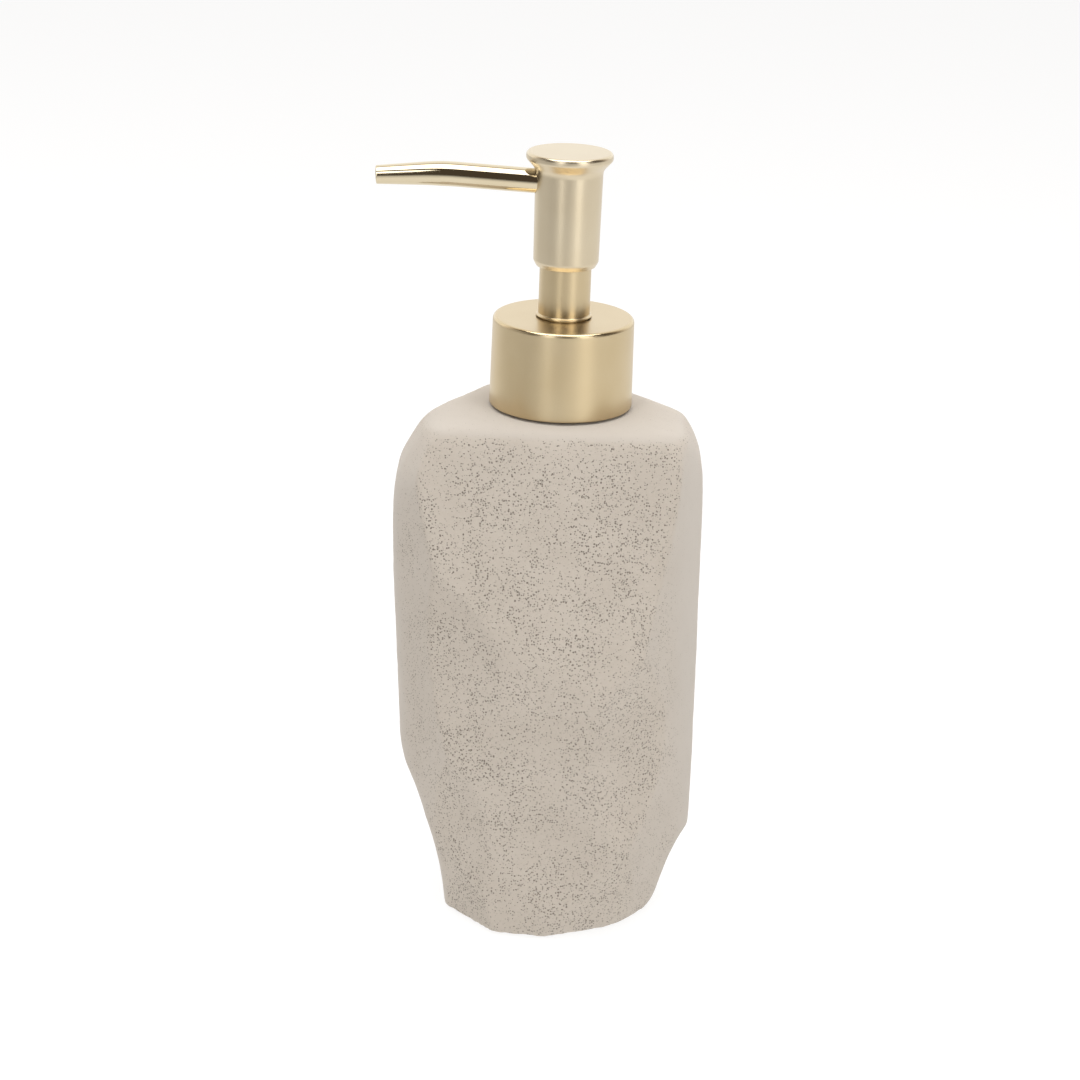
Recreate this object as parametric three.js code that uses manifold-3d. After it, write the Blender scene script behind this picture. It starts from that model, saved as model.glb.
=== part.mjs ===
// Soap pump dispenser: a chipped stone-look bottle with a threaded stopper in its
// mouth, and a satin gold lotion pump that screws onto the stopper.
// Millimetres, +Z up. The origin is on the pump's axis, at the surface that the
// dispenser stands on. The spout points to -X.

import * as THREE from 'three';
import * as BufferGeometryUtils from 'three/addons/utils/BufferGeometryUtils.js';
import Module from 'manifold-3d';

const wasm = await Module();
wasm.setup();

// ---------------------------------------------------------------- driving sizes

const GAP = 0.3;                    // between neighbouring pieces
const ROUND = 32;                   // facets round the pump's pieces

// Bottle
const STONE_CENTRE_Z = 66;          // every chip's distance is measured from here
const BASE_Z = 0.8;                 // underside of the stone, held up by its pad
const LAND_Z = 133;                 // flat round the mouth
const RIDGE_SHARPNESS = 60;         // higher leaves crisper ridges between chips
const STONE_HALF_WIDTH = 36;        // spreads the grid lines evenly over the stone
const STONE_COLUMNS = 72;
const STONE_ROWS = 46;
const CAVITY_FLOOR_Z = 8;
const CAVITY_R = 23;
const CAVITY_STRETCH = 1.25;        // the cavity is wider than it is deep
const CAVITY_SHOULDER_Z = 106;
const CAVITY_TOP_Z = 120;
const CAVITY_FLOOR_SLOPE = 5;       // height of the bevel round the cavity's floor
const CAVITY_FLOOR_RISE = 35;       // where the cavity is at its widest
const MOUTH_R = 14.6;
const PAD_R = 19;
const PAD_THICKNESS = 2;

// Stopper
const STOPPER_FLANGE_R = 15.9;
const STOPPER_FLANGE_THICKNESS = 1.2;
const STOPPER_PLUG_R = 12.6;
const STOPPER_PLUG_BOTTOM_Z = 119;
const STOPPER_BORE_R = 10.4;
const NECK_R = 12;
const NECK_TOP_Z = 147;
const THREAD_PITCH = 4.23;
const THREAD_BEAD_R = 0.9;
const THREAD_TURNS = 1.6;
const THREAD_LIFT = 2.6;            // from the flange to the thread's start
const PLUG_RIM = 1.2;               // how far the plug's rims reach past it
const PLUG_LIP = 1;                 // thickness of its lower rim
const GROOVE_GAP = 2;               // from the flange to the seal's groove
const SEAL_RIBS = 4;
const SEAL_RIB_R = 14.4;
const SEAL_RIB_DEPTH = 0.7;

// Collar
const COLLAR_BOTTOM_Z = 133.6;
const COLLAR_TOP_Z = 155.6;
const COLLAR_BOTTOM_R = 17.6;
const COLLAR_TOP_R = 17.3;
const COLLAR_WALL = 0.8;
const COLLAR_TOP_THICKNESS = 1.4;
const COLLAR_HOLE_R = 6.6;
const CAP_BORE_R = 13.4;
const CAP_R = 15.2;
const CAP_RIB_R = 16.2;
const CAP_RIBS = 24;
const CAP_RIB_WIDTH = 0.8;
const CAP_RIB_SHORT = 1.2;          // how far below the cap's top its ribs end
const CAP_TOP_THICKNESS = 1.9;
const RIM_ROUND = 1;                // softened edge round the collar's top

// Pump
const CHIMNEY_R = 6.3;
const CHIMNEY_WALL = 0.4;
const CHIMNEY_TOP_Z = 171;
const HOUSING_BORE_R = 5.4;
const HOUSING_WALL = 1.2;
const HOUSING_FLANGE_R = 11.4;
const HOUSING_BOTTOM_Z = 98;
const PUMP_FLANGE_THICKNESS = 1.4;
const STEM_R = 2.8;
const STEM_BORE_R = 1.4;
const STEM_BOTTOM_Z = 137;
const STEM_SHOULDER = 0.7;          // how far the piston's shoulders stand out
const SHOULDER_THICKNESS = 0.8;
const PISTON_LIP = 0.6;
const PISTON_WAIST = 0.9;
const INLET_BALL_R = 2.3;
const OUTLET_BALL_R = 1.5;
const TUBE_R = 3;
const TUBE_BORE_R = 2.2;
const TUBE_BOTTOM_Z = 11;
const TUBE_SLANT = 25;              // degrees, of the cut at its foot
const TUBE_SOCKET_DEPTH = 8;
const VALVE_SEAT_RISE = 6;          // from the tube's end to the ball's seat
const VALVE_HOLE_R = 1.3;
const VALVE_ROOM = 0.9;             // round the inlet ball
const CAGE_RISE = 6.4;              // from the seat to the cage over the ball
const GUIDE_REACH = 7;              // of the stem's guide into the cylinder
const CHIMNEY_FLARE = 0.55;
const SPRING_R = 4.3;
const SPRING_WIRE_R = 0.45;
const SPRING_TURNS = 7;

// Head
const HEAD_BOTTOM_Z = 168.4;
const HEAD_TOP_Z = 196.3;
const HEAD_LOW_R = 7.95;
const HEAD_HIGH_R = 8.2;
const HEAD_DISC_R = 10.5;
const HEAD_BORE_R = 6.8;
const HEAD_TOP_THICKNESS = 1.2;
const CORE_BOTTOM_Z = 184.6;
const SPOUT_AXIS_Z = 188.9;
const SPOUT_ROOT_R = 3;
const SPOUT_TIP_R = 2.25;
const SPOUT_BORE_R = 1.7;
const LINER_BORE_R = 1.1;
const SPOUT_STEPS = 14;             // along a spout, most of them in its bend
const SPOUT_START_X = -4.2;
const SPOUT_BEND_X = -30.8;
const SPOUT_TIP_X = -46.4;
const SPOUT_BEND_REACH = 5;         // the bend starts and ends this far from its middle
const SPOUT_RISE = 2.6;             // degrees, from the head to the bend
const SPOUT_FALL = 3.6;             // degrees, from the bend to the tip
const LINER_INSET = 0.6;

// The stone's chips: azimuth and elevation of the face in degrees (azimuth 0 is +X,
// 270 is the front), its distance from the stone's centre, and the radius that it
// is hollowed to (0 is flat).
const CHIPS = [
  // front, upper
  [270, 9, 35.2, 0],
  [215, -6, 37.5, 0],
  [325, -4, 36.3, 0],
  // front, lower
  [264, -2.5, 33.3, 0],
  [244, -1, 34.1, 120],
  [308, -13, 34.9, 80],
  [292, -16, 44.4, 0],
  [272, -24, 38.9, 76],
  [262, -25, 54.6, 0],
  [222, -12.5, 40.4, 0],
  [234, -22, 40.6, 90],
  // left
  [180, 0, 40.3, 0],
  [181, -2.8, 38.9, 0],
  [178, -14, 41.9, 0],
  [184, -34, 46.4, 75],
  // right
  [0, 1, 37, 0],
  [342, 0, 36.8, 0],
  [344, -24, 53.2, 0],
  [324, -20, 49, 0],
  [354, -48, 58.6, 30],
  // shoulder
  [182, 28, 60, 0],
  [180, 50, 71, 0],
  [0, 26.6, 57.1, 0],
  [0, 55, 72.6, 0],
  [270, 50, 67.6, 0],
  [200, 25, 60.4, 0],
  [330, 25, 60.6, 0],
  [150, 30, 55.8, 0],
  [40, 30, 54.6, 0],
  [92, 25, 45.6, 0],
  // back
  [88, 2, 31, 300],
  [100, -9, 32.5, 160],
  [130, 0, 36.5, 0],
  [50, -1, 36, 0],
  [150, -10, 38, 90],
  [30, -10, 40, 0],
  [90, -30, 52, 0],
  [135, -28, 53.5, 0],
  [45, -28, 54, 0],
  // top and base
  [0, 90, 69, 0],
  [0, -90, 67.7, 0],
];

// ---------------------------------------------------------------- making solids

function signedVolume(geometry) {
  const p = geometry.attributes.position;
  const index = geometry.index;
  const a = new THREE.Vector3();
  const b = new THREE.Vector3();
  const c = new THREE.Vector3();
  let sum = 0;
  for (let i = 0; i < index.count; i += 3) {
    a.fromBufferAttribute(p, index.getX(i));
    b.fromBufferAttribute(p, index.getX(i + 1));
    c.fromBufferAttribute(p, index.getX(i + 2));
    sum += a.dot(b.cross(c));
  }
  return sum / 6;
}

// A closed three.js geometry as a manifold-3d solid, whichever way its faces point.
function solidOf(geometry) {
  const bare = geometry.clone();
  bare.deleteAttribute('normal');
  bare.deleteAttribute('uv');
  const merged = BufferGeometryUtils.mergeVertices(bare, 1e-4);
  const triangles = Uint32Array.from(merged.index.array);
  if (signedVolume(merged) < 0) {
    for (let i = 0; i < triangles.length; i += 3) {
      [triangles[i + 1], triangles[i + 2]] = [triangles[i + 2], triangles[i + 1]];
    }
  }
  const vertProperties = Float32Array.from(merged.attributes.position.array);
  return new wasm.Manifold(new wasm.Mesh({ numProp: 3, vertProperties, triVerts: triangles }));
}

function geometryOf(solid) {
  const mesh = solid.getMesh();
  const geometry = new THREE.BufferGeometry();
  geometry.setAttribute('position', new THREE.BufferAttribute(mesh.vertProperties, mesh.numProp));
  geometry.setIndex(new THREE.BufferAttribute(mesh.triVerts, 1));
  geometry.computeVertexNormals();
  return geometry;
}

// A profile of [radius, z] pairs turned about the Z axis. A profile that touches the
// axis at both ends is a full body, and any other is closed into a ring.
function turned(profile, facets = ROUND) {
  const points = profile.map(([r, z]) => new THREE.Vector2(r, z));
  const onAxis = profile[0][0] === 0 && profile[profile.length - 1][0] === 0;
  if (!onAxis) {
    points.push(points[0].clone());
  }
  return solidOf(new THREE.LatheGeometry(points, facets).rotateX(Math.PI / 2));
}

function ring(outerR, innerR, z0, z1, facets = ROUND) {
  return turned([[innerR, z0], [outerR, z0], [outerR, z1], [innerR, z1]], facets);
}

function disc(r, z0, z1, facets = ROUND) {
  return turned([[0, z0], [r, z0], [r, z1], [0, z1]], facets);
}

function block(width, depth, z0, z1) {
  const height = z1 - z0;
  return solidOf(new THREE.BoxGeometry(width, depth, height).translate(0, 0, z0 + height / 2));
}

function ball(r, z) {
  return solidOf(new THREE.SphereGeometry(r, 16, 10).rotateX(Math.PI / 2).translate(0, 0, z));
}

function circle(r, sides) {
  const shape = new THREE.Shape();
  for (let i = 0; i < sides; i += 1) {
    const a = (2 * Math.PI * i) / sides;
    if (i === 0) {
      shape.moveTo(r * Math.cos(a), r * Math.sin(a));
    } else {
      shape.lineTo(r * Math.cos(a), r * Math.sin(a));
    }
  }
  return shape;
}

function swept(path, r, steps, sides) {
  const options = { steps, extrudePath: path, bevelEnabled: false };
  return solidOf(new THREE.ExtrudeGeometry(circle(r, sides), options));
}

// A helix about the Z axis, whose height at each point along it is a function of t.
class Helix extends THREE.Curve {
  constructor(r, turns, heightAt, startAngle = 0) {
    super();
    this.r = r;
    this.turns = turns;
    this.heightAt = heightAt;
    this.startAngle = startAngle;
  }

  getPoint(t, target = new THREE.Vector3()) {
    const a = this.startAngle + 2 * Math.PI * this.turns * t;
    return target.set(this.r * Math.cos(a), this.r * Math.sin(a), this.heightAt(t));
  }
}

function threadBead(r, z0) {
  const rise = THREAD_PITCH * THREAD_TURNS;
  const path = new Helix(r, THREAD_TURNS, (t) => z0 + rise * t);
  return swept(path, THREAD_BEAD_R, Math.round(16 * THREAD_TURNS), 6);
}

// ---------------------------------------------------------------- bottle

// How far the face of one chip is from the centre along a direction, as its inverse.
function chipCloseness(direction, [azimuth, elevation, distance, hollow]) {
  const a = THREE.MathUtils.degToRad(azimuth);
  const e = THREE.MathUtils.degToRad(elevation);
  const normal = new THREE.Vector3(
    Math.cos(a) * Math.cos(e),
    Math.sin(a) * Math.cos(e),
    Math.sin(e),
  );
  const facing = direction.dot(normal);
  if (facing <= 0) {
    return 0;
  }
  if (hollow === 0) {
    return facing / distance;
  }
  const along = (distance + hollow) * facing;
  const inside = along * along - distance * (distance + 2 * hollow);
  return inside > 0 ? 1 / (along - Math.sqrt(inside)) : 0;
}

function stoneRadius(direction) {
  const sum = CHIPS.reduce((s, c) => s + chipCloseness(direction, c) ** RIDGE_SHARPNESS, 0);
  return sum ** (-1 / RIDGE_SHARPNESS);
}

// The chipped stone: a ball pushed out along each direction until it meets a chip.
function stone() {
  const geometry = new THREE.SphereGeometry(1, STONE_COLUMNS, STONE_ROWS).rotateX(Math.PI / 2);
  const p = geometry.attributes.position;
  const direction = new THREE.Vector3();
  for (let i = 0; i < p.count; i += 1) {
    direction.fromBufferAttribute(p, i);
    direction.z *= STONE_CENTRE_Z / STONE_HALF_WIDTH;
    direction.normalize();
    direction.multiplyScalar(stoneRadius(direction));
    p.setXYZ(i, direction.x, direction.y, direction.z + STONE_CENTRE_Z);
  }
  return solidOf(geometry);
}

function cavity() {
  const room = turned([
    [0, CAVITY_FLOOR_Z],
    [CAVITY_R - 8, CAVITY_FLOOR_Z],
    [CAVITY_R - 3, CAVITY_FLOOR_Z + CAVITY_FLOOR_SLOPE],
    [CAVITY_R, CAVITY_FLOOR_Z + CAVITY_FLOOR_RISE],
    [CAVITY_R, CAVITY_SHOULDER_Z],
    [CAVITY_R - 3, CAVITY_SHOULDER_Z + 7],
    [CAVITY_R - 10, CAVITY_TOP_Z],
    [0, CAVITY_TOP_Z],
  ], 32);
  const mouth = disc(MOUTH_R, CAVITY_TOP_Z - 6, LAND_Z + 5);
  return room.scale([CAVITY_STRETCH, 1, 1]).add(mouth);
}

function bottleBody() {
  const slab = block(120, 120, BASE_Z, LAND_Z);
  const recess = disc(PAD_R + GAP, -1, PAD_THICKNESS + GAP);
  return stone().intersect(slab).subtract(cavity()).subtract(recess);
}

function basePad() {
  return disc(PAD_R, 0, PAD_THICKNESS);
}

// ---------------------------------------------------------------- stopper

function neckInsert() {
  const flangeZ = LAND_Z + GAP;
  const flangeTopZ = flangeZ + STOPPER_FLANGE_THICKNESS;
  const grooveTopZ = flangeZ - GROOVE_GAP;
  const rimR = STOPPER_PLUG_R + PLUG_RIM;
  const body = turned([
    [STOPPER_BORE_R, STOPPER_PLUG_BOTTOM_Z],
    [rimR, STOPPER_PLUG_BOTTOM_Z],
    [rimR, STOPPER_PLUG_BOTTOM_Z + PLUG_LIP],
    [STOPPER_PLUG_R, STOPPER_PLUG_BOTTOM_Z + PLUG_LIP],
    [STOPPER_PLUG_R, grooveTopZ],
    [rimR, grooveTopZ],
    [rimR, flangeZ],
    [STOPPER_FLANGE_R, flangeZ],
    [STOPPER_FLANGE_R, flangeTopZ],
    [NECK_R, flangeTopZ],
    [NECK_R, NECK_TOP_Z],
    [STOPPER_BORE_R, NECK_TOP_Z],
  ]);
  return body.add(threadBead(NECK_R, flangeTopZ + THREAD_LIFT));
}

function plugSeal() {
  const z0 = STOPPER_PLUG_BOTTOM_Z + PLUG_LIP + GAP;
  const z1 = LAND_Z - GROOVE_GAP;
  const step = (z1 - z0) / SEAL_RIBS;
  const valleyR = SEAL_RIB_R - SEAL_RIB_DEPTH;
  const profile = [[STOPPER_PLUG_R + GAP, z0]];
  for (let i = 0; i < SEAL_RIBS; i += 1) {
    const z = z0 + i * step;
    profile.push([valleyR, z]);
    profile.push([SEAL_RIB_R, z + step * 0.4]);
    profile.push([SEAL_RIB_R, z + step * 0.6]);
  }
  profile.push([valleyR, z1], [STOPPER_PLUG_R + GAP, z1]);
  return turned(profile);
}

// ---------------------------------------------------------------- collar

const COLLAR_INSIDE_Z = COLLAR_TOP_Z - COLLAR_TOP_THICKNESS;

function collarShell() {
  const soft = RIM_ROUND / 2;
  const bend = RIM_ROUND * 0.3;
  return turned([
    [COLLAR_BOTTOM_R - COLLAR_WALL, COLLAR_BOTTOM_Z],
    [COLLAR_BOTTOM_R - 0.2, COLLAR_BOTTOM_Z],
    [COLLAR_BOTTOM_R, COLLAR_BOTTOM_Z + 0.3],
    [COLLAR_TOP_R, COLLAR_TOP_Z - RIM_ROUND],
    [COLLAR_TOP_R - bend, COLLAR_TOP_Z - bend],
    [COLLAR_TOP_R - RIM_ROUND, COLLAR_TOP_Z],
    [COLLAR_HOLE_R, COLLAR_TOP_Z],
    [COLLAR_HOLE_R, COLLAR_INSIDE_Z],
    [COLLAR_TOP_R - COLLAR_WALL - soft, COLLAR_INSIDE_Z],
    [COLLAR_TOP_R - COLLAR_WALL, COLLAR_INSIDE_Z - soft],
  ], 48);
}

function screwCap() {
  const top = COLLAR_INSIDE_Z - GAP;
  const bottom = LAND_Z + GAP + STOPPER_FLANGE_THICKNESS + GAP;
  let cap = turned([
    [CAP_BORE_R, bottom],
    [CAP_R, bottom],
    [CAP_R, top],
    [COLLAR_HOLE_R, top],
    [COLLAR_HOLE_R, top - CAP_TOP_THICKNESS],
    [CAP_BORE_R, top - CAP_TOP_THICKNESS],
  ]);
  const ribRoot = CAP_R - 0.4;
  const ribTop = top - CAP_RIB_SHORT;
  for (let i = 0; i < CAP_RIBS; i += 1) {
    const rib = new THREE.BoxGeometry(CAP_RIB_R - ribRoot, CAP_RIB_WIDTH, ribTop - bottom);
    rib.translate((CAP_RIB_R + ribRoot) / 2, 0, (ribTop + bottom) / 2);
    rib.rotateZ((2 * Math.PI * i) / CAP_RIBS);
    cap = cap.add(solidOf(rib));
  }
  return cap.add(threadBead(CAP_BORE_R, bottom - GAP + THREAD_LIFT + THREAD_PITCH / 2));
}

// ---------------------------------------------------------------- pump core

const GASKET_Z = NECK_TOP_Z + 0.2;
const HOUSING_FLANGE_Z = GASKET_Z + 1.2;
const LOCK_FLANGE_Z = HOUSING_FLANGE_Z + PUMP_FLANGE_THICKNESS + 0.2;
const VALVE_SEAT_Z = HOUSING_BOTTOM_Z + VALVE_SEAT_RISE;
const CAGE_Z = VALVE_SEAT_Z + CAGE_RISE;
const SPRING_BOTTOM_Z = CAGE_Z + 1.2;
const STEM_TOP_Z = CORE_BOTTOM_Z + 1.6;
const PISTON_TOP_Z = STEM_BOTTOM_Z + 4;
const PISTON_BOTTOM_Z = STEM_BOTTOM_Z - 2;

function neckGasket() {
  return ring(NECK_R - 0.2, STOPPER_BORE_R - 1.6, GASKET_Z, GASKET_Z + 1);
}

function pumpHousing() {
  const top = HOUSING_FLANGE_Z + PUMP_FLANGE_THICKNESS;
  const outer = HOUSING_BORE_R + HOUSING_WALL;
  const socketR = TUBE_R + GAP;
  return turned([
    [socketR, HOUSING_BOTTOM_Z - TUBE_SOCKET_DEPTH],
    [socketR + HOUSING_WALL, HOUSING_BOTTOM_Z - TUBE_SOCKET_DEPTH],
    [socketR + HOUSING_WALL, HOUSING_BOTTOM_Z + 1],
    [outer, HOUSING_BOTTOM_Z + 5],
    [outer, HOUSING_FLANGE_Z],
    [HOUSING_FLANGE_R, HOUSING_FLANGE_Z],
    [HOUSING_FLANGE_R, top],
    [HOUSING_BORE_R, top],
    [HOUSING_BORE_R, CAGE_Z - GAP],
    [INLET_BALL_R + VALVE_ROOM, CAGE_Z - GAP],
    [INLET_BALL_R + VALVE_ROOM, VALVE_SEAT_Z + 1.6],
    [VALVE_HOLE_R, VALVE_SEAT_Z],
    [VALVE_HOLE_R, HOUSING_BOTTOM_Z],
    [socketR, HOUSING_BOTTOM_Z],
  ]);
}

function inletBall() {
  return ball(INLET_BALL_R, VALVE_SEAT_Z + 2.2);
}

// Ring with four slots: it keeps the inlet ball in and the spring stands on it.
function ballCage() {
  const plate = ring(HOUSING_BORE_R - GAP, 1.2, CAGE_Z, CAGE_Z + 1);
  const slots = solidOf(new THREE.BoxGeometry(5.4, 0.9, 4).translate(0, 0, CAGE_Z + 0.5));
  return plate.subtract(slots).subtract(slots.rotate([0, 0, 90]));
}

function dipTube() {
  const tube = ring(TUBE_R, TUBE_BORE_R, TUBE_BOTTOM_Z, HOUSING_BOTTOM_Z - GAP, 20);
  const slant = new THREE.BoxGeometry(20, 20, 10).translate(0, 0, -5);
  slant.rotateY(THREE.MathUtils.degToRad(TUBE_SLANT)).translate(0, 0, TUBE_BOTTOM_Z + 1.6);
  return tube.subtract(solidOf(slant));
}

// Open coils between a closed one at each end.
function returnSpring() {
  const bottom = SPRING_BOTTOM_Z + SPRING_WIRE_R;
  const top = PISTON_BOTTOM_Z - GAP - SPRING_WIRE_R;
  const closed = 1 / SPRING_TURNS;
  const lift = 2.2 * SPRING_WIRE_R;
  const heightAt = (t) => {
    if (t < closed) {
      return bottom + (lift * t) / closed;
    }
    if (t > 1 - closed) {
      return top - (lift * (1 - t)) / closed;
    }
    return bottom + lift + ((top - bottom - 2 * lift) * (t - closed)) / (1 - 2 * closed);
  };
  const path = new Helix(SPRING_R, SPRING_TURNS, heightAt);
  return swept(path, SPRING_WIRE_R, 12 * SPRING_TURNS, 6);
}

// Guide of the stem: its flange closes the pump cylinder, its chimney carries the sleeve.
function lockRing() {
  const bore = STEM_R + GAP;
  const flangeTop = LOCK_FLANGE_Z + PUMP_FLANGE_THICKNESS;
  return turned([
    [bore, LOCK_FLANGE_Z - GUIDE_REACH],
    [HOUSING_BORE_R - GAP, LOCK_FLANGE_Z - GUIDE_REACH],
    [HOUSING_BORE_R - GAP, LOCK_FLANGE_Z],
    [HOUSING_FLANGE_R, LOCK_FLANGE_Z],
    [HOUSING_FLANGE_R, flangeTop],
    [CHIMNEY_R - CHIMNEY_WALL - GAP, flangeTop],
    [CHIMNEY_R - CHIMNEY_WALL - GAP, CHIMNEY_TOP_Z - 0.6],
    [bore, CHIMNEY_TOP_Z - 0.6],
  ]);
}

// Gold tube over the chimney, flared out where it meets the collar.
function chimneySleeve() {
  const foot = COLLAR_TOP_Z + 0.3;
  return turned([
    [CHIMNEY_R - CHIMNEY_WALL, COLLAR_INSIDE_Z - 0.4],
    [CHIMNEY_R, COLLAR_INSIDE_Z - 0.4],
    [CHIMNEY_R, foot],
    [CHIMNEY_R + CHIMNEY_FLARE, foot],
    [CHIMNEY_R + CHIMNEY_FLARE, foot + 0.35],
    [CHIMNEY_R + 0.2, foot + 0.6],
    [CHIMNEY_R, foot + 1.3],
    [CHIMNEY_R, CHIMNEY_TOP_Z - 0.3],
    [CHIMNEY_R - 0.3, CHIMNEY_TOP_Z],
    [CHIMNEY_R - CHIMNEY_WALL, CHIMNEY_TOP_Z],
  ]);
}

// ---------------------------------------------------------------- piston and head

function pistonSeal() {
  const bore = STEM_R + GAP;
  const lip = HOUSING_BORE_R - 0.2;
  return turned([
    [bore, PISTON_BOTTOM_Z],
    [lip - 2 * PISTON_LIP, PISTON_BOTTOM_Z],
    [lip, PISTON_BOTTOM_Z - PISTON_LIP],
    [lip, PISTON_BOTTOM_Z + PISTON_LIP],
    [lip - PISTON_WAIST, PISTON_BOTTOM_Z + 3 * PISTON_LIP],
    [lip - PISTON_WAIST, PISTON_TOP_Z - 3 * PISTON_LIP],
    [lip, PISTON_TOP_Z - PISTON_LIP],
    [lip, PISTON_TOP_Z],
    [bore, PISTON_TOP_Z],
  ]);
}

// Hollow stem. Two shoulders hold the piston between them, and the outlet ball sits
// in the cone at its top.
function pistonStem() {
  const shoulderR = STEM_R + STEM_SHOULDER;
  const foot = PISTON_BOTTOM_Z - GAP - SHOULDER_THICKNESS;
  const collarZ = PISTON_TOP_Z + GAP;
  const seatZ = STEM_TOP_Z - 0.8;
  return turned([
    [STEM_BORE_R, foot],
    [shoulderR, foot],
    [shoulderR, PISTON_BOTTOM_Z - GAP],
    [STEM_R, PISTON_BOTTOM_Z - GAP],
    [STEM_R, collarZ],
    [shoulderR, collarZ],
    [shoulderR, collarZ + SHOULDER_THICKNESS],
    [STEM_R, collarZ + 1],
    [STEM_R, STEM_TOP_Z],
    [STEM_BORE_R + 0.5, STEM_TOP_Z],
    [STEM_BORE_R - 0.5, seatZ],
    [STEM_BORE_R - 0.5, seatZ - 1],
    [STEM_BORE_R, seatZ - 1.5],
  ], 24);
}

function outletBall() {
  return ball(OUTLET_BALL_R, STEM_TOP_Z + 0.66);
}

class SpoutPath extends THREE.CurvePath {
  constructor(startX, endX) {
    super();
    const rise = Math.tan(THREE.MathUtils.degToRad(SPOUT_RISE));
    const fall = Math.tan(THREE.MathUtils.degToRad(SPOUT_FALL));
    const bendZ = SPOUT_AXIS_Z + rise * (-SPOUT_BEND_X - HEAD_HIGH_R);
    const reach = SPOUT_BEND_REACH;
    const startZ = SPOUT_AXIS_Z + rise * (-startX - HEAD_HIGH_R);
    const endZ = bendZ - fall * (SPOUT_BEND_X - endX);
    const at = (x, z) => new THREE.Vector3(x, 0, z);
    const bendIn = at(SPOUT_BEND_X + reach, bendZ - rise * reach);
    const bendOut = at(SPOUT_BEND_X - reach, bendZ - fall * reach);
    this.add(new THREE.LineCurve3(at(startX, startZ), bendIn));
    this.add(new THREE.QuadraticBezierCurve3(bendIn, at(SPOUT_BEND_X, bendZ), bendOut));
    this.add(new THREE.LineCurve3(bendOut, at(endX, endZ)));
  }
}

// A round bar along the spout's path, thinner past the bend.
function spoutBar(startX, endX, rootR, tipR, sides) {
  const path = new SpoutPath(startX, endX);
  const geometry = new THREE.ExtrudeGeometry(circle(1, sides), {
    steps: SPOUT_STEPS, extrudePath: path, bevelEnabled: false,
  });
  const p = geometry.attributes.position;
  const point = new THREE.Vector3();
  const line = Array.from({ length: SPOUT_STEPS + 1 }, (_, i) => path.getPointAt(i / SPOUT_STEPS));
  for (let i = 0; i < p.count; i += 1) {
    point.fromBufferAttribute(p, i);
    const centre = line.reduce((a, b) => (point.distanceTo(a) < point.distanceTo(b) ? a : b));
    const past = THREE.MathUtils.clamp(
      (SPOUT_BEND_X - centre.x) / (SPOUT_BEND_X - SPOUT_TIP_X), 0, 1,
    );
    point.sub(centre).multiplyScalar(rootR + (tipR - rootR) * past).add(centre);
    p.setXYZ(i, point.x, point.y, point.z);
  }
  return solidOf(geometry);
}

function spoutTube() {
  const body = spoutBar(SPOUT_START_X, SPOUT_TIP_X, SPOUT_ROOT_R, SPOUT_TIP_R, 20);
  const bore = spoutBar(-1, SPOUT_TIP_X - 2, SPOUT_BORE_R, SPOUT_BORE_R, 12);
  return body.subtract(bore);
}

function spoutLiner() {
  const r = SPOUT_BORE_R - GAP;
  const body = spoutBar(SPOUT_START_X, SPOUT_TIP_X + LINER_INSET, r, r, 12);
  return body.subtract(spoutBar(-1, SPOUT_TIP_X - 2, LINER_BORE_R, LINER_BORE_R, 10));
}

// Profile of the flare from the head's side to the rim of its top.
function headOutline() {
  return [
    [HEAD_BORE_R, HEAD_BOTTOM_Z],
    [HEAD_BORE_R + 0.25, HEAD_BOTTOM_Z],
    [HEAD_LOW_R - 0.5, HEAD_BOTTOM_Z + 0.7],
    [HEAD_LOW_R, HEAD_BOTTOM_Z + 1.9],
    [HEAD_HIGH_R, HEAD_TOP_Z - 5],
    [HEAD_HIGH_R + 0.3, HEAD_TOP_Z - 3.4],
    [HEAD_HIGH_R + 1.1, HEAD_TOP_Z - 2.1],
    [HEAD_DISC_R, HEAD_TOP_Z - 1.3],
    [HEAD_DISC_R, HEAD_TOP_Z - 0.6],
    [HEAD_DISC_R - 0.6, HEAD_TOP_Z],
    [0, HEAD_TOP_Z],
  ];
}

function headShell() {
  const inside = HEAD_TOP_Z - HEAD_TOP_THICKNESS;
  const shell = turned([[0, inside], [HEAD_BORE_R, inside], ...headOutline()], 40);
  return shell.subtract(spoutBar(-1, SPOUT_TIP_X, SPOUT_ROOT_R + GAP, SPOUT_ROOT_R + GAP, 20));
}

function actuatorCore() {
  const top = HEAD_TOP_Z - HEAD_TOP_THICKNESS - GAP;
  const chamberTop = STEM_TOP_Z + 2 * OUTLET_BALL_R + 1.4;
  const body = disc(HEAD_BORE_R - GAP, CORE_BOTTOM_Z, top);
  const stemSocket = disc(STEM_R + GAP, CORE_BOTTOM_Z - 1, STEM_TOP_Z + GAP, 24);
  const chamber = disc(OUTLET_BALL_R + 0.4, CORE_BOTTOM_Z, chamberTop, 20);
  const socketR = SPOUT_ROOT_R + GAP;
  const socket = spoutBar(SPOUT_START_X + GAP, SPOUT_TIP_X, socketR, socketR, 20);
  const channel = spoutBar(0, SPOUT_TIP_X, LINER_BORE_R, LINER_BORE_R, 10);
  return body.subtract(stemSocket).subtract(chamber).subtract(socket).subtract(channel);
}

// ---------------------------------------------------------------- materials

function finish(color, roughness, metalness) {
  return new THREE.MeshStandardMaterial({ color, roughness, metalness });
}

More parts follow.
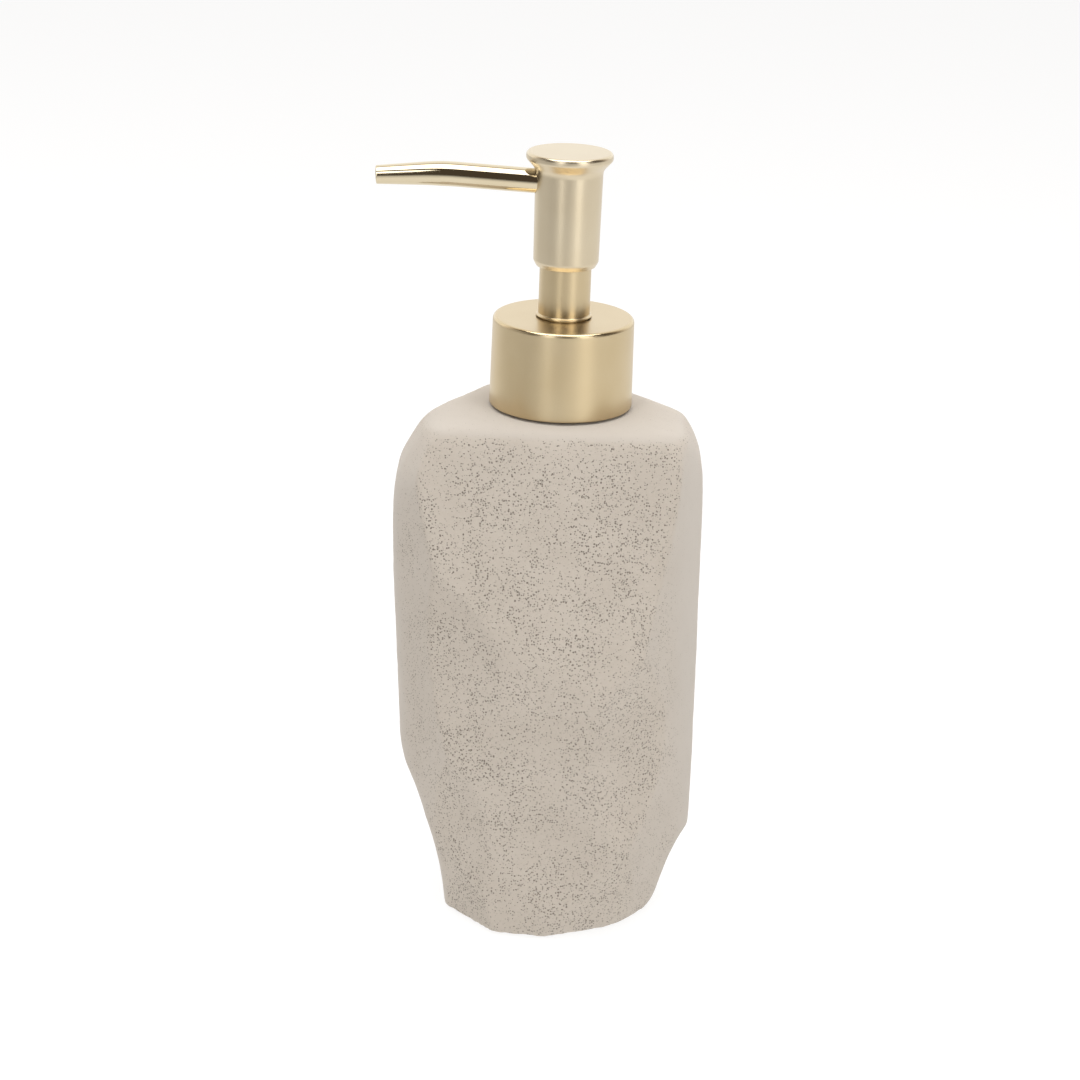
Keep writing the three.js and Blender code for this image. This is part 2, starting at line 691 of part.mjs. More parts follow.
const castStone = finish(0xb9ae9f, 0.92, 0);
const satinGold = finish(0xd6bd85, 0.34, 1);
const polishedGold = finish(0xe0c98f, 0.12, 1);
const whitePlastic = finish(0xece9e2, 0.45, 0);
const clearPlastic = finish(0xdfe6e6, 0.3, 0);
const seal = finish(0xd9d6cf, 0.6, 0);
const padFoam = finish(0x3b3936, 0.9, 0);
const steel = finish(0xb8babd, 0.25, 1);

// ---------------------------------------------------------------- assembly

const dispenser = new THREE.Group();

function place(name, solid, material, group) {
  const mesh = new THREE.Mesh(geometryOf(solid), material);
  mesh.name = name;
  group.add(mesh);
}

function subAssembly() {
  const group = new THREE.Group();
  dispenser.add(group);
  return group;
}

const bottle = subAssembly();
place('bottle_body', bottleBody(), castStone, bottle);
place('base_pad', basePad(), padFoam, bottle);

const stopper = subAssembly();
place('neck_insert', neckInsert(), whitePlastic, stopper);
place('plug_seal', plugSeal(), seal, stopper);

const collar = subAssembly();
place('collar_shell', collarShell(), satinGold, collar);
place('screw_cap', screwCap(), whitePlastic, collar);

const pump = subAssembly();
place('neck_gasket', neckGasket(), seal, pump);
place('pump_housing', pumpHousing(), clearPlastic, pump);
place('inlet_ball', inletBall(), steel, pump);
place('ball_cage', ballCage(), whitePlastic, pump);
place('dip_tube', dipTube(), clearPlastic, pump);
place('return_spring', returnSpring(), steel, pump);
place('lock_ring', lockRing(), whitePlastic, pump);
place('chimney_sleeve', chimneySleeve(), satinGold, pump);

const head = subAssembly();
place('piston_seal', pistonSeal(), seal, head);
place('piston_stem', pistonStem(), whitePlastic, head);
place('outlet_ball', outletBall(), steel, head);
place('actuator_core', actuatorCore(), whitePlastic, head);
place('head_shell', headShell(), satinGold, head);
place('spout_tube', spoutTube(), polishedGold, head);
place('spout_liner', spoutLiner(), clearPlastic, head);

export default dispenser;
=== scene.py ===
"""Soap pump dispenser: the looks of a chipped cast-stone bottle with a satin gold lotion pump.

Metres, +Z up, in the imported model's own frame: the spout points to -X and the bottle's front to -Y.
Each sub-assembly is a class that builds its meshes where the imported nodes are, and dresses them.
Each finish is a class too. Heights and radii are read from the frame's boxes where they can be.
"""

import functools
import logging
import math
from abc import ABC, abstractmethod
from dataclasses import dataclass, field
from enum import Enum
from typing import Any, Callable, Sequence

import bmesh
import bpy
import numpy as np
from mathutils import Matrix, Vector


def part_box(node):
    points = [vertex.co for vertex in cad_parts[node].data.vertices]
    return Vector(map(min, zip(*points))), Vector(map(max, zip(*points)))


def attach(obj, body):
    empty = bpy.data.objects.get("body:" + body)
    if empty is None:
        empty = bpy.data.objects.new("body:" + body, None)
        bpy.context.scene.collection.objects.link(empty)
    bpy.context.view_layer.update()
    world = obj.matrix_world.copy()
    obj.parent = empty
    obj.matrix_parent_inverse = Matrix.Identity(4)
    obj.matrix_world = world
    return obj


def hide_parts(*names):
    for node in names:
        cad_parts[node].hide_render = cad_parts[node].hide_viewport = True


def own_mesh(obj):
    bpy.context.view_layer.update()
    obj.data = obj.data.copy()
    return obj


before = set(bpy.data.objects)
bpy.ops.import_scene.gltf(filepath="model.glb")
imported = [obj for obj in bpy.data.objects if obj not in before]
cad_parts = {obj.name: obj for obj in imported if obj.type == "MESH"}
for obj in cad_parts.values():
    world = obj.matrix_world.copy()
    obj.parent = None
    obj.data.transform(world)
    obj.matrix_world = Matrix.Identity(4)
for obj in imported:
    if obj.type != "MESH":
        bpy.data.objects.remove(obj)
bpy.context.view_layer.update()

LOG = logging.getLogger("dispenser")
MM = 0.001
FINE_FACETS = 144
INNER_FACETS = 72
SHARP_ANGLE = math.radians(38)
NEARLY_ZERO = 1e-6

Point = tuple[float, float]
Colour = tuple[float, float, float]
BLACK: Colour = (0.0, 0.0, 0.0)
WHITE: Colour = (1.0, 1.0, 1.0)


class Body(Enum):
    """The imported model's moving bodies."""

    BOTTLE = "bottle"
    STOPPER = "stopper"
    COLLAR = "collar"
    PUMP_CORE = "pump_core"
    PISTON = "piston"
    HEAD = "head"
    INLET_VALVE = "inlet_valve"
    OUTLET_VALVE = "outlet_valve"


class Slot(Enum):
    """The record's material slots."""

    CAST_STONE = "cast_stone"
    PAD_FOAM = "pad_foam"
    WHITE_PLASTIC = "white_plastic"
    NATURAL_PLASTIC = "natural_plastic"
    SILICONE = "silicone"
    SATIN_GOLD = "satin_gold"
    POLISHED_GOLD = "polished_gold"
    STEEL = "steel"


# ---------------------------------------------------------------- node trees


class Socket:
    """A node's output, whose arithmetic adds Math nodes to its tree."""

    def __init__(self, tree: "NodeTree", link: bpy.types.NodeSocket) -> None:
        """Wraps one output socket.

        Args:
            tree: the tree that new nodes go to.
            link: the output socket.
        """
        self.tree = tree
        self.link = link

    def _math(self, operation: str, *values: Any) -> "Socket":
        """Adds a Math node fed with these values."""
        return self.tree.node("ShaderNodeMath", {"operation": operation}, dict(enumerate(values)))

    def __add__(self, other: Any) -> "Socket":
        """self + other."""
        return self._math("ADD", self, other)

    def __radd__(self, other: Any) -> "Socket":
        """other + self."""
        return self._math("ADD", other, self)

    def __sub__(self, other: Any) -> "Socket":
        """self - other."""
        return self._math("SUBTRACT", self, other)

    def __rsub__(self, other: Any) -> "Socket":
        """other - self."""
        return self._math("SUBTRACT", other, self)

    def __mul__(self, other: Any) -> "Socket":
        """self * other."""
        return self._math("MULTIPLY", self, other)

    def __rmul__(self, other: Any) -> "Socket":
        """other * self."""
        return self._math("MULTIPLY", other, self)

    def __truediv__(self, other: Any) -> "Socket":
        """self / other."""
        return self._math("DIVIDE", self, other)

    def __rtruediv__(self, other: Any) -> "Socket":
        """other / self."""
        return self._math("DIVIDE", other, self)

    def __pow__(self, other: Any) -> "Socket":
        """self ** other."""
        return self._math("POWER", self, other)

    def at_least(self, other: Any) -> "Socket":
        """The larger of the two."""
        return self._math("MAXIMUM", self, other)

    def at_most(self, other: Any) -> "Socket":
        """The smaller of the two."""
        return self._math("MINIMUM", self, other)

    def sine(self) -> "Socket":
        """The sine of an angle in radians."""
        return self._math("SINE", self)

    def cosine(self) -> "Socket":
        """The cosine of an angle in radians."""
        return self._math("COSINE", self)

    def root(self) -> "Socket":
        """The square root."""
        return self._math("SQRT", self)

    def magnitude(self) -> "Socket":
        """The value without its sign."""
        return self._math("ABSOLUTE", self)

    def clamped(self) -> "Socket":
        """The value held between 0 and 1."""
        return self.at_least(0.0).at_most(1.0)

    def smooth(self, low: Any, high: Any) -> "Socket":
        """A soft step from 0 at low to 1 at high."""
        settings = {"interpolation_type": "SMOOTHSTEP"}
        return self.tree.node("ShaderNodeMapRange", settings, {0: self, 1: low, 2: high})

    def dot(self, direction: Sequence[float]) -> "Socket":
        """The dot product of this vector with a fixed direction."""
        inputs = {0: self, 1: tuple(direction)}
        return self.tree.node("ShaderNodeVectorMath", {"operation": "DOT_PRODUCT"}, inputs, 1)


class NodeTree:
    """A node tree under construction."""

    def __init__(self, tree: bpy.types.NodeTree) -> None:
        """Wraps a tree."""
        self.tree = tree

    def node(
        self,
        kind: str,
        settings: dict[str, Any] | None = None,
        inputs: dict[int | str, Any] | None = None,
        output: int | str = 0,
    ) -> Socket | None:
        """Adds a node.

        Args:
            kind: the node's type.
            settings: its properties, set before its inputs; "stops" fills a colour ramp.
            inputs: value or Socket for each input, by index or name.
            output: which output is wanted.

        Returns:
            The output, or None for a node that has none.
        """
        made = self.tree.nodes.new(kind)
        for name, value in (settings or {}).items():
            if name == "stops":
                self._fill_ramp(made.color_ramp, value)
            else:
                setattr(made, name, value)
        for key, value in (inputs or {}).items():
            self._feed(made.inputs[key], value)
        return Socket(self, made.outputs[output]) if len(made.outputs) else None

    def _feed(self, into: bpy.types.NodeSocket, value: Any) -> None:
        """Links a Socket into an input, or sets the input's own value."""
        if isinstance(value, Socket):
            self.tree.links.new(value.link, into)
        else:
            into.default_value = value

    @staticmethod
    def _fill_ramp(ramp: bpy.types.ColorRamp, stops: Sequence[tuple[float, Sequence[float]]]) -> None:
        """Gives a colour ramp these stops of (position, colour)."""
        while len(ramp.elements) < len(stops):
            ramp.elements.new(1.0)
        for element, (position, colour) in zip(ramp.elements, stops):
            element.position = position
            element.color = (*colour, 1.0)

    def vector(self, x: Any, y: Any, z: Any) -> Socket:
        """A vector of three values."""
        return self.node("ShaderNodeCombineXYZ", None, {0: x, 1: y, 2: z})

    def parts(self, vector: Socket) -> tuple[Socket, Socket, Socket]:
        """The three components of a vector."""
        made = self.tree.nodes.new("ShaderNodeSeparateXYZ")
        self._feed(made.inputs[0], vector)
        x, y, z = (Socket(self, output) for output in made.outputs)
        return x, y, z

    def vector_math(self, operation: str, a: Any, b: Any) -> Socket:
        """One Vector Math node on two vectors."""
        return self.node("ShaderNodeVectorMath", {"operation": operation}, {0: a, 1: b})

    def scaled(self, vector: Any, factor: Any) -> Socket:
        """A vector times a number."""
        return self.node("ShaderNodeVectorMath", {"operation": "SCALE"}, {0: vector, "Scale": factor})

    def noise(self, place: Socket, size: float, detail: float = 2.0, seed: float = 0.0) -> Socket:
        """Soft noise from 0 to 1.

        Args:
            place: where it is read.
            size: the size of its blobs, in metres.
            detail: how many finer layers it has.
            seed: which of the many patterns it is.

        Returns:
            The noise value.
        """
        inputs = {"Vector": place, "W": seed, "Scale": 1 / size, "Detail": detail}
        return self.node("ShaderNodeTexNoise", {"noise_dimensions": "4D"}, inputs)


class ShaderTree(NodeTree):
    """A material under construction."""

    def __init__(self, name: str) -> None:
        """Starts an empty material of this name."""
        self.material = bpy.data.materials.new(name)
        self.material.use_nodes = True
        super().__init__(self.material.node_tree)
        self.tree.nodes.clear()

    def place(self) -> Socket:
        """Object coordinates, which are the frame's own, in metres."""
        return self.node("ShaderNodeTexCoord", None, None, "Object")

    def mixed(self, factor: Any, a: Colour | Socket, b: Colour | Socket) -> Socket:
        """Colour a at factor 0, colour b at factor 1."""
        first, second = (one if isinstance(one, Socket) else (*one, 1.0) for one in (a, b))
        return self.node("ShaderNodeMix", {"data_type": "RGBA"}, {0: factor, 6: first, 7: second}, 2)

    def bump(self, height: Socket, depth: float, strength: float = 1.0) -> Socket:
        """A normal bent by a height from 0 to 1 that stands for depth metres."""
        inputs = {"Height": height, "Distance": depth, "Strength": strength}
        return self.node("ShaderNodeBump", None, inputs)

    def principled(self, **inputs: Any) -> None:
        """Ends the material in a Principled shader; an input's spaces are written as _."""
        named = {key.replace("_", " "): value for key, value in inputs.items()}
        shader = self.node("ShaderNodeBsdfPrincipled", None, named)
        self.node("ShaderNodeOutputMaterial", None, {"Surface": shader})


class GeometryTree(NodeTree):
    """A Geometry Nodes tree under construction, with named inputs for its sizes."""

    def __init__(self, name: str, material: bpy.types.Material) -> None:
        """Starts a tree.

        Args:
            name: the tree's name.
            material: what its result is made of.
        """
        super().__init__(bpy.data.node_groups.new(name, "GeometryNodeTree"))
        self.material = material
        self.values: dict[str, Any] = {}
        for way in ("INPUT", "OUTPUT"):
            self.tree.interface.new_socket(name="Geometry", in_out=way, socket_type="NodeSocketGeometry")
        self.inlet = self.tree.nodes.new("NodeGroupInput")
        self.outlet = self.tree.nodes.new("NodeGroupOutput")
        self.geometry = Socket(self, self.inlet.outputs[0])

    def size(self, name: str, value: float) -> Socket:
        """A named input and its value on this piece."""
        kind = "NodeSocketInt" if isinstance(value, int) else "NodeSocketFloat"
        self.tree.interface.new_socket(name=name, in_out="INPUT", socket_type=kind)
        self.values[name] = value
        return Socket(self, self.inlet.outputs[name])

    def finish(self, geometry: Socket) -> None:
        """Ends the tree in smooth, real geometry of the tree's material."""
        real = self.node("GeometryNodeRealizeInstances", None, {0: geometry})
        soft = self.node("GeometryNodeSetShadeSmooth", None, {0: real, "Shade Smooth": True})
        dressed = self.node("GeometryNodeSetMaterial", None, {0: soft, "Material": self.material})
        self.tree.links.new(dressed.link, self.outlet.inputs[0])

    def grow(self, piece: bpy.types.Object) -> bpy.types.Object:
        """Runs the tree on a piece and leaves the result as its plain mesh.

        Args:
            piece: the object whose mesh is the tree's input.

        Returns:
            The same object.
        """
        modifier = piece.modifiers.new(self.tree.name, "NODES")
        modifier.node_group = self.tree
        for item in self.tree.interface.items_tree:
            if item.name in self.values:
                modifier[item.identifier] = self.values[item.name]
        evaluated = piece.evaluated_get(bpy.context.evaluated_depsgraph_get())
        mesh = bpy.data.meshes.new_from_object(evaluated)
        piece.modifiers.clear()
        mesh.name = piece.name
        piece.data = mesh
        return piece


# ---------------------------------------------------------------- finishes


@dataclass(frozen=True)
class Finish(ABC):
    """A surface finish, made into a material the first time it is asked for."""

    @property
    @abstractmethod
    def slot(self) -> Slot:
        """The record's slot that the finish belongs to."""

    @abstractmethod
    def shade(self, tree: ShaderTree) -> None:
        """Builds the finish's nodes in an empty material."""

    def material(self) -> bpy.types.Material:
        """The finish's material."""
        name = type(self).__name__
        found = bpy.data.materials.get(name)
        if found is None:
            tree = ShaderTree(name)
            self.shade(tree)
            found = tree.material
        return found


@dataclass(frozen=True)
class CastStone(Finish):
    """Sand-coloured cast stone with small pits, closed up where it was rubbed smooth; the pits are
    darkened by the stone's own dark specks and by painted shade, and ringed by painted highlights.
    """

    pale: Colour = (0.660, 0.598, 0.524)
    shade_colour: Colour = (0.602, 0.541, 0.468)
    # darkness of the pits: the stone's own dark specks, and painted shade in the hollows
    speck_and_pit_shade_colour: Colour = (0.240, 0.205, 0.168)
    worn_colour: Colour = (0.640, 0.595, 0.540)
    pit_spacing: float = 0.56 * MM
    pit_size: float = 0.54
    pit_depth: float = 0.16 * MM
    patch_size: float = 7.5 * MM
    grain_size: float = 0.32 * MM
    mottle_size: float = 14 * MM
    warp_size: float = 1.4 * MM
    warp_reach: float = 0.5 * MM
    # painted highlight: the lighter colour and strength of the ring round each pit, where light catches
    # its edge
    pit_rim_highlight_colour: Colour = (0.70, 0.65, 0.58)
    pit_rim_highlight_strength: float = 0.30
    slot = Slot.CAST_STONE

    def shade(self, tree: ShaderTree) -> None:
        """Builds pits darkened by dark specks and painted shade, painted highlights on their rims, fine
        grain and slow mottling.
        """
        place = tree.place()
        pitting = tree.node("ShaderNodeAttribute", {"attribute_name": "pitting"}, None, "Fac")
        waves = {"Vector": place, "Scale": 1 / self.warp_size, "Detail": 1.0}
        warp = tree.node("ShaderNodeTexNoise", None, waves, "Color")
        bent = tree.vector_math("ADD", place, tree.scaled(warp, self.warp_reach))
        cells = {"Vector": bent, "Scale": 1 / self.pit_spacing, "Randomness": 1.0}
        distance = tree.node("ShaderNodeTexVoronoi", None, cells, "Distance")
        chance = tree.parts(tree.node("ShaderNodeTexVoronoi", None, cells, "Color"))[0]
        patches = tree.noise(place, self.patch_size, 2.0, 3.1).smooth(0.36, 0.58)
        size = (0.50 + 0.50 * chance) * (0.70 + 0.30 * patches) * pitting * self.pit_size
        pit = 1.0 - distance.smooth(size * 0.45, size * 1.05 + 0.001)
        # painted highlight: a lighter ring round each pit
        rim = distance.smooth(size * 0.9, size * 1.15) * (1.0 - distance.smooth(size * 1.15, size * 1.7))
        grain = tree.noise(place, self.grain_size, 3.0, 1.7)
        mottle = tree.noise(place, self.mottle_size, 3.0, 5.3).smooth(0.3, 0.7)
        body = tree.mixed(mottle * 0.55 + grain * 0.45, self.shade_colour, self.pale)
        worn = tree.mixed(pitting, self.worn_colour, body)
        # mixes the painted highlight into the ring round each pit
        light = tree.mixed(rim * pitting * self.pit_rim_highlight_strength, worn, self.pit_rim_highlight_colour)
        # darkens the pits: dark specks, and painted shade in the hollows
        colour = tree.mixed(pit * (0.55 + 0.45 * chance), light, self.speck_and_pit_shade_colour)
        height = grain * 0.12 - pit
        tree.principled(
            Base_Color=colour,
            Roughness=0.80 + grain * 0.14,
            Specular_IOR_Level=0.25,
            Diffuse_Roughness=0.5,
            Normal=tree.bump(height, self.pit_depth, 0.8),
        )


@dataclass(frozen=True)
class Gold(Finish):
    """Gold-coloured plating over metal, shinier where its upper fillets were rubbed.

    Subclasses say how shiny it is.
    """

    colour: Colour = (0.650, 0.532, 0.340)
    deep: Colour = (0.615, 0.493, 0.300)
    roughness: float = 0.31
    roughness_spread: float = 0.03
    edge_polish: float = 0.45
    cloud_size: float = 9 * MM
    grain_size: float = 0.20 * MM
    grain_depth: float = 0.0005 * MM

    def shade(self, tree: ShaderTree) -> None:
        """Builds slow changes of tone, and the fine grain that spreads its highlights."""
        place = tree.place()
        cloud = tree.noise(place, self.cloud_size, 1.0, 2.2)
        grain = tree.noise(place, self.grain_size, 2.0, 4.4)
        tone = (cloud * 0.7 + grain * 0.3).smooth(0.25, 0.75)
        up = tree.parts(tree.node("ShaderNodeNewGeometry", None, None, "Normal"))[2]
        edge = up.smooth(0.40, 0.60) * (1.0 - up.smooth(0.86, 0.98))
        roughness = self.roughness + (cloud - 0.5) * self.roughness_spread
        tree.principled(
            Base_Color=tree.mixed(tone, self.deep, self.colour),
            Metallic=1.0,
            Roughness=roughness * (1.0 - self.edge_polish * edge),
            Normal=tree.bump(grain, self.grain_depth),
        )


@dataclass(frozen=True)
class SatinGold(Gold):
    """The satin gold of the collar, chimney and head."""

    slot = Slot.SATIN_GOLD


@dataclass(frozen=True)
class SatinGoldPaintedBright(SatinGold):
    """The satin gold of the head: a paler copy of the collar's satin gold, painted light that makes the
    head brighter.
    """

    colour: Colour = (0.700, 0.608, 0.446)
    deep: Colour = (0.668, 0.570, 0.405)


@dataclass(frozen=True)
class PolishedGold(Gold):
    """The bright gold of the spout."""

    colour: Colour = (0.700, 0.610, 0.440)
    deep: Colour = (0.670, 0.575, 0.400)
    roughness: float = 0.07
    roughness_spread: float = 0.02
    grain_depth: float = 0.0002 * MM
    slot = Slot.POLISHED_GOLD


@dataclass(frozen=True)
class WhitePlastic(Finish):
    """Moulded white polypropylene with a faint spark-eroded texture."""

    colour: Colour = (0.80, 0.79, 0.755)
    warm: Colour = (0.74, 0.72, 0.67)
    slot = Slot.WHITE_PLASTIC

    def shade(self, tree: ShaderTree) -> None:
        """Builds flow marks and a fine moulded texture."""
        place = tree.place()
        flow = tree.noise(place, 6 * MM, 3.0, 0.4)
        texture = tree.noise(place, 0.18 * MM, 2.0, 7.0)
        tree.principled(
            Base_Color=tree.mixed(flow.smooth(0.3, 0.75), self.colour, self.warm),
            Roughness=0.38 + texture * 0.12,
            Subsurface_Weight=0.12,
            Subsurface_Scale=1.5 * MM,
            Normal=tree.bump(texture, 0.006 * MM),
        )


@dataclass(frozen=True)
class NaturalPlastic(Finish):
    """Uncoloured polyethylene: milky, and light passes through it."""

    colour: Colour = (0.86, 0.89, 0.88)
    haze: Colour = (0.78, 0.82, 0.82)
    slot = Slot.NATURAL_PLASTIC

    def shade(self, tree: ShaderTree) -> None:
        """Builds drawn-out streaks in a translucent body."""
        place = tree.place()
        streaks = tree.vector_math("MULTIPLY", place, (1.0, 1.0, 0.08))
        streak = tree.noise(streaks, 0.7 * MM, 3.0, 2.0)
        tree.principled(
            Base_Color=tree.mixed(streak, self.haze, self.colour),
            Roughness=0.30 + streak * 0.14,
            Transmission_Weight=0.55,
            IOR=1.51,
            Normal=tree.bump(streak, 0.010 * MM),
        )


@dataclass(frozen=True)
class Silicone(Finish):
    """Soft grey-white silicone rubber with a dusty bloom."""

    colour: Colour = (0.56, 0.55, 0.52)
    bloom: Colour = (0.68, 0.67, 0.64)
    slot = Slot.SILICONE

    def shade(self, tree: ShaderTree) -> None:
        """Builds the bloom and a slightly uneven skin."""
        place = tree.place()
        cloud = tree.noise(place, 2.5 * MM, 4.0, 6.0).smooth(0.35, 0.7)
        skin = tree.noise(place, 0.25 * MM, 2.0, 6.5)
        tree.principled(
            Base_Color=tree.mixed(cloud, self.colour, self.bloom),
            Roughness=0.52 + cloud * 0.16,
            Subsurface_Weight=0.2,
            Subsurface_Scale=1.0 * MM,
            Normal=tree.bump(skin, 0.010 * MM),
        )


@dataclass(frozen=True)
class PadFoam(Finish):
    """Charcoal closed-cell foam."""

    colour: Colour = (0.052, 0.050, 0.048)
    cell_colour: Colour = (0.020, 0.019, 0.018)
    cell_size: float = 0.45 * MM
    slot = Slot.PAD_FOAM

    def shade(self, tree: ShaderTree) -> None:
        """Builds the open cells of the cut skin."""
        place = tree.place()
        cells = {"Vector": place, "Scale": 1 / self.cell_size}
        wall = tree.node("ShaderNodeTexVoronoi", None, cells, "Distance").smooth(0.15, 0.6)
        tree.principled(
            Base_Color=tree.mixed(wall, self.cell_colour, self.colour),
            Roughness=0.82 + wall * 0.12,
            Normal=tree.bump(wall, 0.08 * MM),
        )


@dataclass(frozen=True)
class Steel(Finish):
    """Bright drawn stainless steel."""

    colour: Colour = (0.62, 0.62, 0.61)
    dull: Colour = (0.46, 0.46, 0.46)
    slot = Slot.STEEL

    def shade(self, tree: ShaderTree) -> None:
        """Builds faint drawing marks."""
        place = tree.place()
        marks = tree.noise(place, 0.5 * MM, 4.0, 8.0)
        tree.principled(
            Base_Color=tree.mixed(marks.smooth(0.3, 0.7), self.dull, self.colour),
            Metallic=1.0,
            Roughness=0.16 + marks * 0.16,
            Normal=tree.bump(marks, 0.002 * MM),
        )


# ---------------------------------------------------------------- meshes


@dataclass(frozen=True)
class Extent:
    """How far a turned node reaches: its greatest radius and the heights of its ends."""

    radius: float
    bottom: float
    top: float

    @classmethod
    def of(cls, node: str) -> "Extent":
        """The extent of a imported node."""
        low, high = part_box(node)
        return cls((high.y - low.y) / 2, low.z, high.z)

    @property
    def middle(self) -> float:
        """The height halfway up."""
        return (self.bottom + self.top) / 2


@dataclass(frozen=True)
class Corner:
    """A corner of a turned piece's outline and the radius that softens it, in metres."""

    r: float
    z: float
    soft: float = 0.0


@dataclass(frozen=True)
class Outline:
    """The outline of a turned piece. It closes on itself unless both its ends are on the axis."""

    corners: tuple[Corner, ...]
    arc_step: float = math.radians(11)
    hold: float = 0.12 * MM

    @property
    def on_axis(self) -> bool:
        """Whether the outline starts and ends on the axis."""
        return self.corners[0].r == 0 and self.corners[-1].r == 0

    def points(self) -> list[Point]:
        """The outline as points, with arcs at its soft corners and a point near each straight's ends."""
        bent: list[Point] = []
        count = len(self.corners)
        for i, corner in enumerate(self.corners):
            end = self.on_axis and i in (0, count - 1)
            if corner.soft == 0 or end:
                bent.append((corner.r, corner.z))
            else:
                bent.extend(self._arc(self.corners[i - 1], corner, self.corners[(i + 1) % count]))
        held: list[Point] = []
        last = len(bent) - 1 if self.on_axis else len(bent)
        for i in range(last):
            held.append(bent[i])
            held.extend(self._holds(bent[i], bent[(i + 1) % len(bent)]))
        if self.on_axis:
            held.append(bent[-1])
        return held

    def _arc(self, before: Corner, corner: Corner, after: Corner) -> list[Point]:
        """The arc that stands for a soft corner."""
        at = Vector((corner.r, corner.z))
        back = Vector((before.r, before.z)) - at
        on = Vector((after.r, after.z)) - at
        half = back.angle(on) / 2
        if half > math.radians(89.5):
            return [(corner.r, corner.z)]
        reach = min(corner.soft / math.tan(half), 0.49 * back.length, 0.49 * on.length)
        radius = reach * math.tan(half)
        centre = at + (back.normalized() + on.normalized()).normalized() * (radius / math.sin(half))
        start = at + back.normalized() * reach - centre
        turn = math.pi - 2 * half
        side = 1 if back.y * on.x - back.x * on.y > 0 else -1
        steps = max(2, math.ceil(turn / self.arc_step))
        arc = []
        for step in range(steps + 1):
            angle = side * turn * step / steps
            x = start.x * math.cos(angle) - start.y * math.sin(angle)
            y = start.x * math.sin(angle) + start.y * math.cos(angle)
            arc.append((centre.x + x, centre.y + y))
        return arc

    def _holds(self, a: Point, b: Point) -> list[Point]:
        """Points just inside both ends of a straight, which keep its shading flat."""
        length = math.dist(a, b)
        if length < 4 * self.hold:
            return []
        share = self.hold / length
        mixes = (share, 1 - share)
        return [(a[0] + (b[0] - a[0]) * m, a[1] + (b[1] - a[1]) * m) for m in mixes]


def piece_of(name: str, shape: bmesh.types.BMesh) -> bpy.types.Object:
    """Turns an edit mesh into a smooth object with crisp edges and faces that point outwards.

    Args:
        name: the piece's name.
        shape: its edit mesh, which is freed.

    Returns:
        The object, in the scene.
    """
    bmesh.ops.recalc_face_normals(shape, faces=shape.faces)
    mesh = bpy.data.meshes.new(name)
    shape.to_mesh(mesh)
    shape.free()
    mesh.shade_smooth()
    mesh.set_sharp_from_angle(angle=SHARP_ANGLE)
    piece = bpy.data.objects.new(name, mesh)
    bpy.context.scene.collection.objects.link(piece)
    return piece


def revolve(name: str, outline: Outline, facets: int = FINE_FACETS) -> bpy.types.Object:
    """Turns an outline about the Z axis.

    Args:
        name: the piece's name.
        outline: the shape of half its section.
        facets: how many sides it has.

    Returns:
        The piece, one closed shell.
    """
    points = outline.points()
    shape = bmesh.new()
    rings = []
    for r, z in points:
        if r < 1e-9:
            rings.append([shape.verts.new((0.0, 0.0, z))] * facets)
        else:
            turns = (2 * math.pi * i / facets for i in range(facets))
            rings.append([shape.verts.new((r * math.cos(a), r * math.sin(a), z)) for a in turns])
    pairs = list(zip(rings, rings[1:]))
    if not outline.on_axis:
        pairs.append((rings[-1], rings[0]))
    for lower, upper in pairs:
        for i in range(facets):
            j = (i + 1) % facets
            corners = list(dict.fromkeys((lower[i], lower[j], upper[j], upper[i])))
            shape.faces.new(corners)
    return piece_of(name, shape)


def cut(piece: bpy.types.Object, *tools: bpy.types.Object) -> bpy.types.Object:
    """Takes the tools' shapes out of a piece and removes the tools.

    Args:
        piece: what is cut.
        tools: closed shells to cut with.

    Returns:
        The piece.
    """
    for tool in tools:
        modifier = piece.modifiers.new("cut", "BOOLEAN")
        modifier.operation = "DIFFERENCE"
        modifier.solver = "EXACT"
        modifier.object = tool
        evaluated = piece.evaluated_get(bpy.context.evaluated_depsgraph_get())
        piece.data = bpy.data.meshes.new_from_object(evaluated)
        piece.modifiers.clear()
        bpy.data.objects.remove(tool)
    piece.data.set_sharp_from_angle(angle=SHARP_ANGLE)
    return piece


def moved(piece: bpy.types.Object, mover: Callable[[np.ndarray], np.ndarray]) -> bpy.types.Object:
    """Moves a piece's vertices by a rule.

    Args:
        piece: the piece, whose object stays at the origin.
        mover: takes the vertices as rows of x, y, z and returns their new places.

    Returns:
        The piece.
    """
    mesh = piece.data
    places = np.empty(len(mesh.vertices) * 3)
    mesh.vertices.foreach_get("co", places)
    mesh.vertices.foreach_set("co", mover(places.reshape(-1, 3)).ravel())
    mesh.update()
    return piece


def fit(piece: bpy.types.Object, body: Body, finish: Finish, *nodes: str) -> bpy.types.Object:
    """Sets a finished piece in the frame and dresses it.

    Args:
        piece: the piece, in place.
        body: what it moves with.
        finish: what it is made of.
        nodes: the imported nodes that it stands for.

    Returns:
        The piece.
    """
    piece.data.materials.clear()
    piece.data.materials.append(finish.material())
    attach(piece, body.value)
    finish.slot.value
    if nodes:
        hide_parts(*nodes)
    return piece


def dress(node: str, finish: Finish) -> bpy.types.Object:
    """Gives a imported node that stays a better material.

    Args:
        node: the node's name.
        finish: what it is made of.

    Returns:
        The node's object.
    """
    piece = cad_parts[node]
    for slot in piece.material_slots:
        slot.material = finish.material()
    finish.slot.value
    return piece


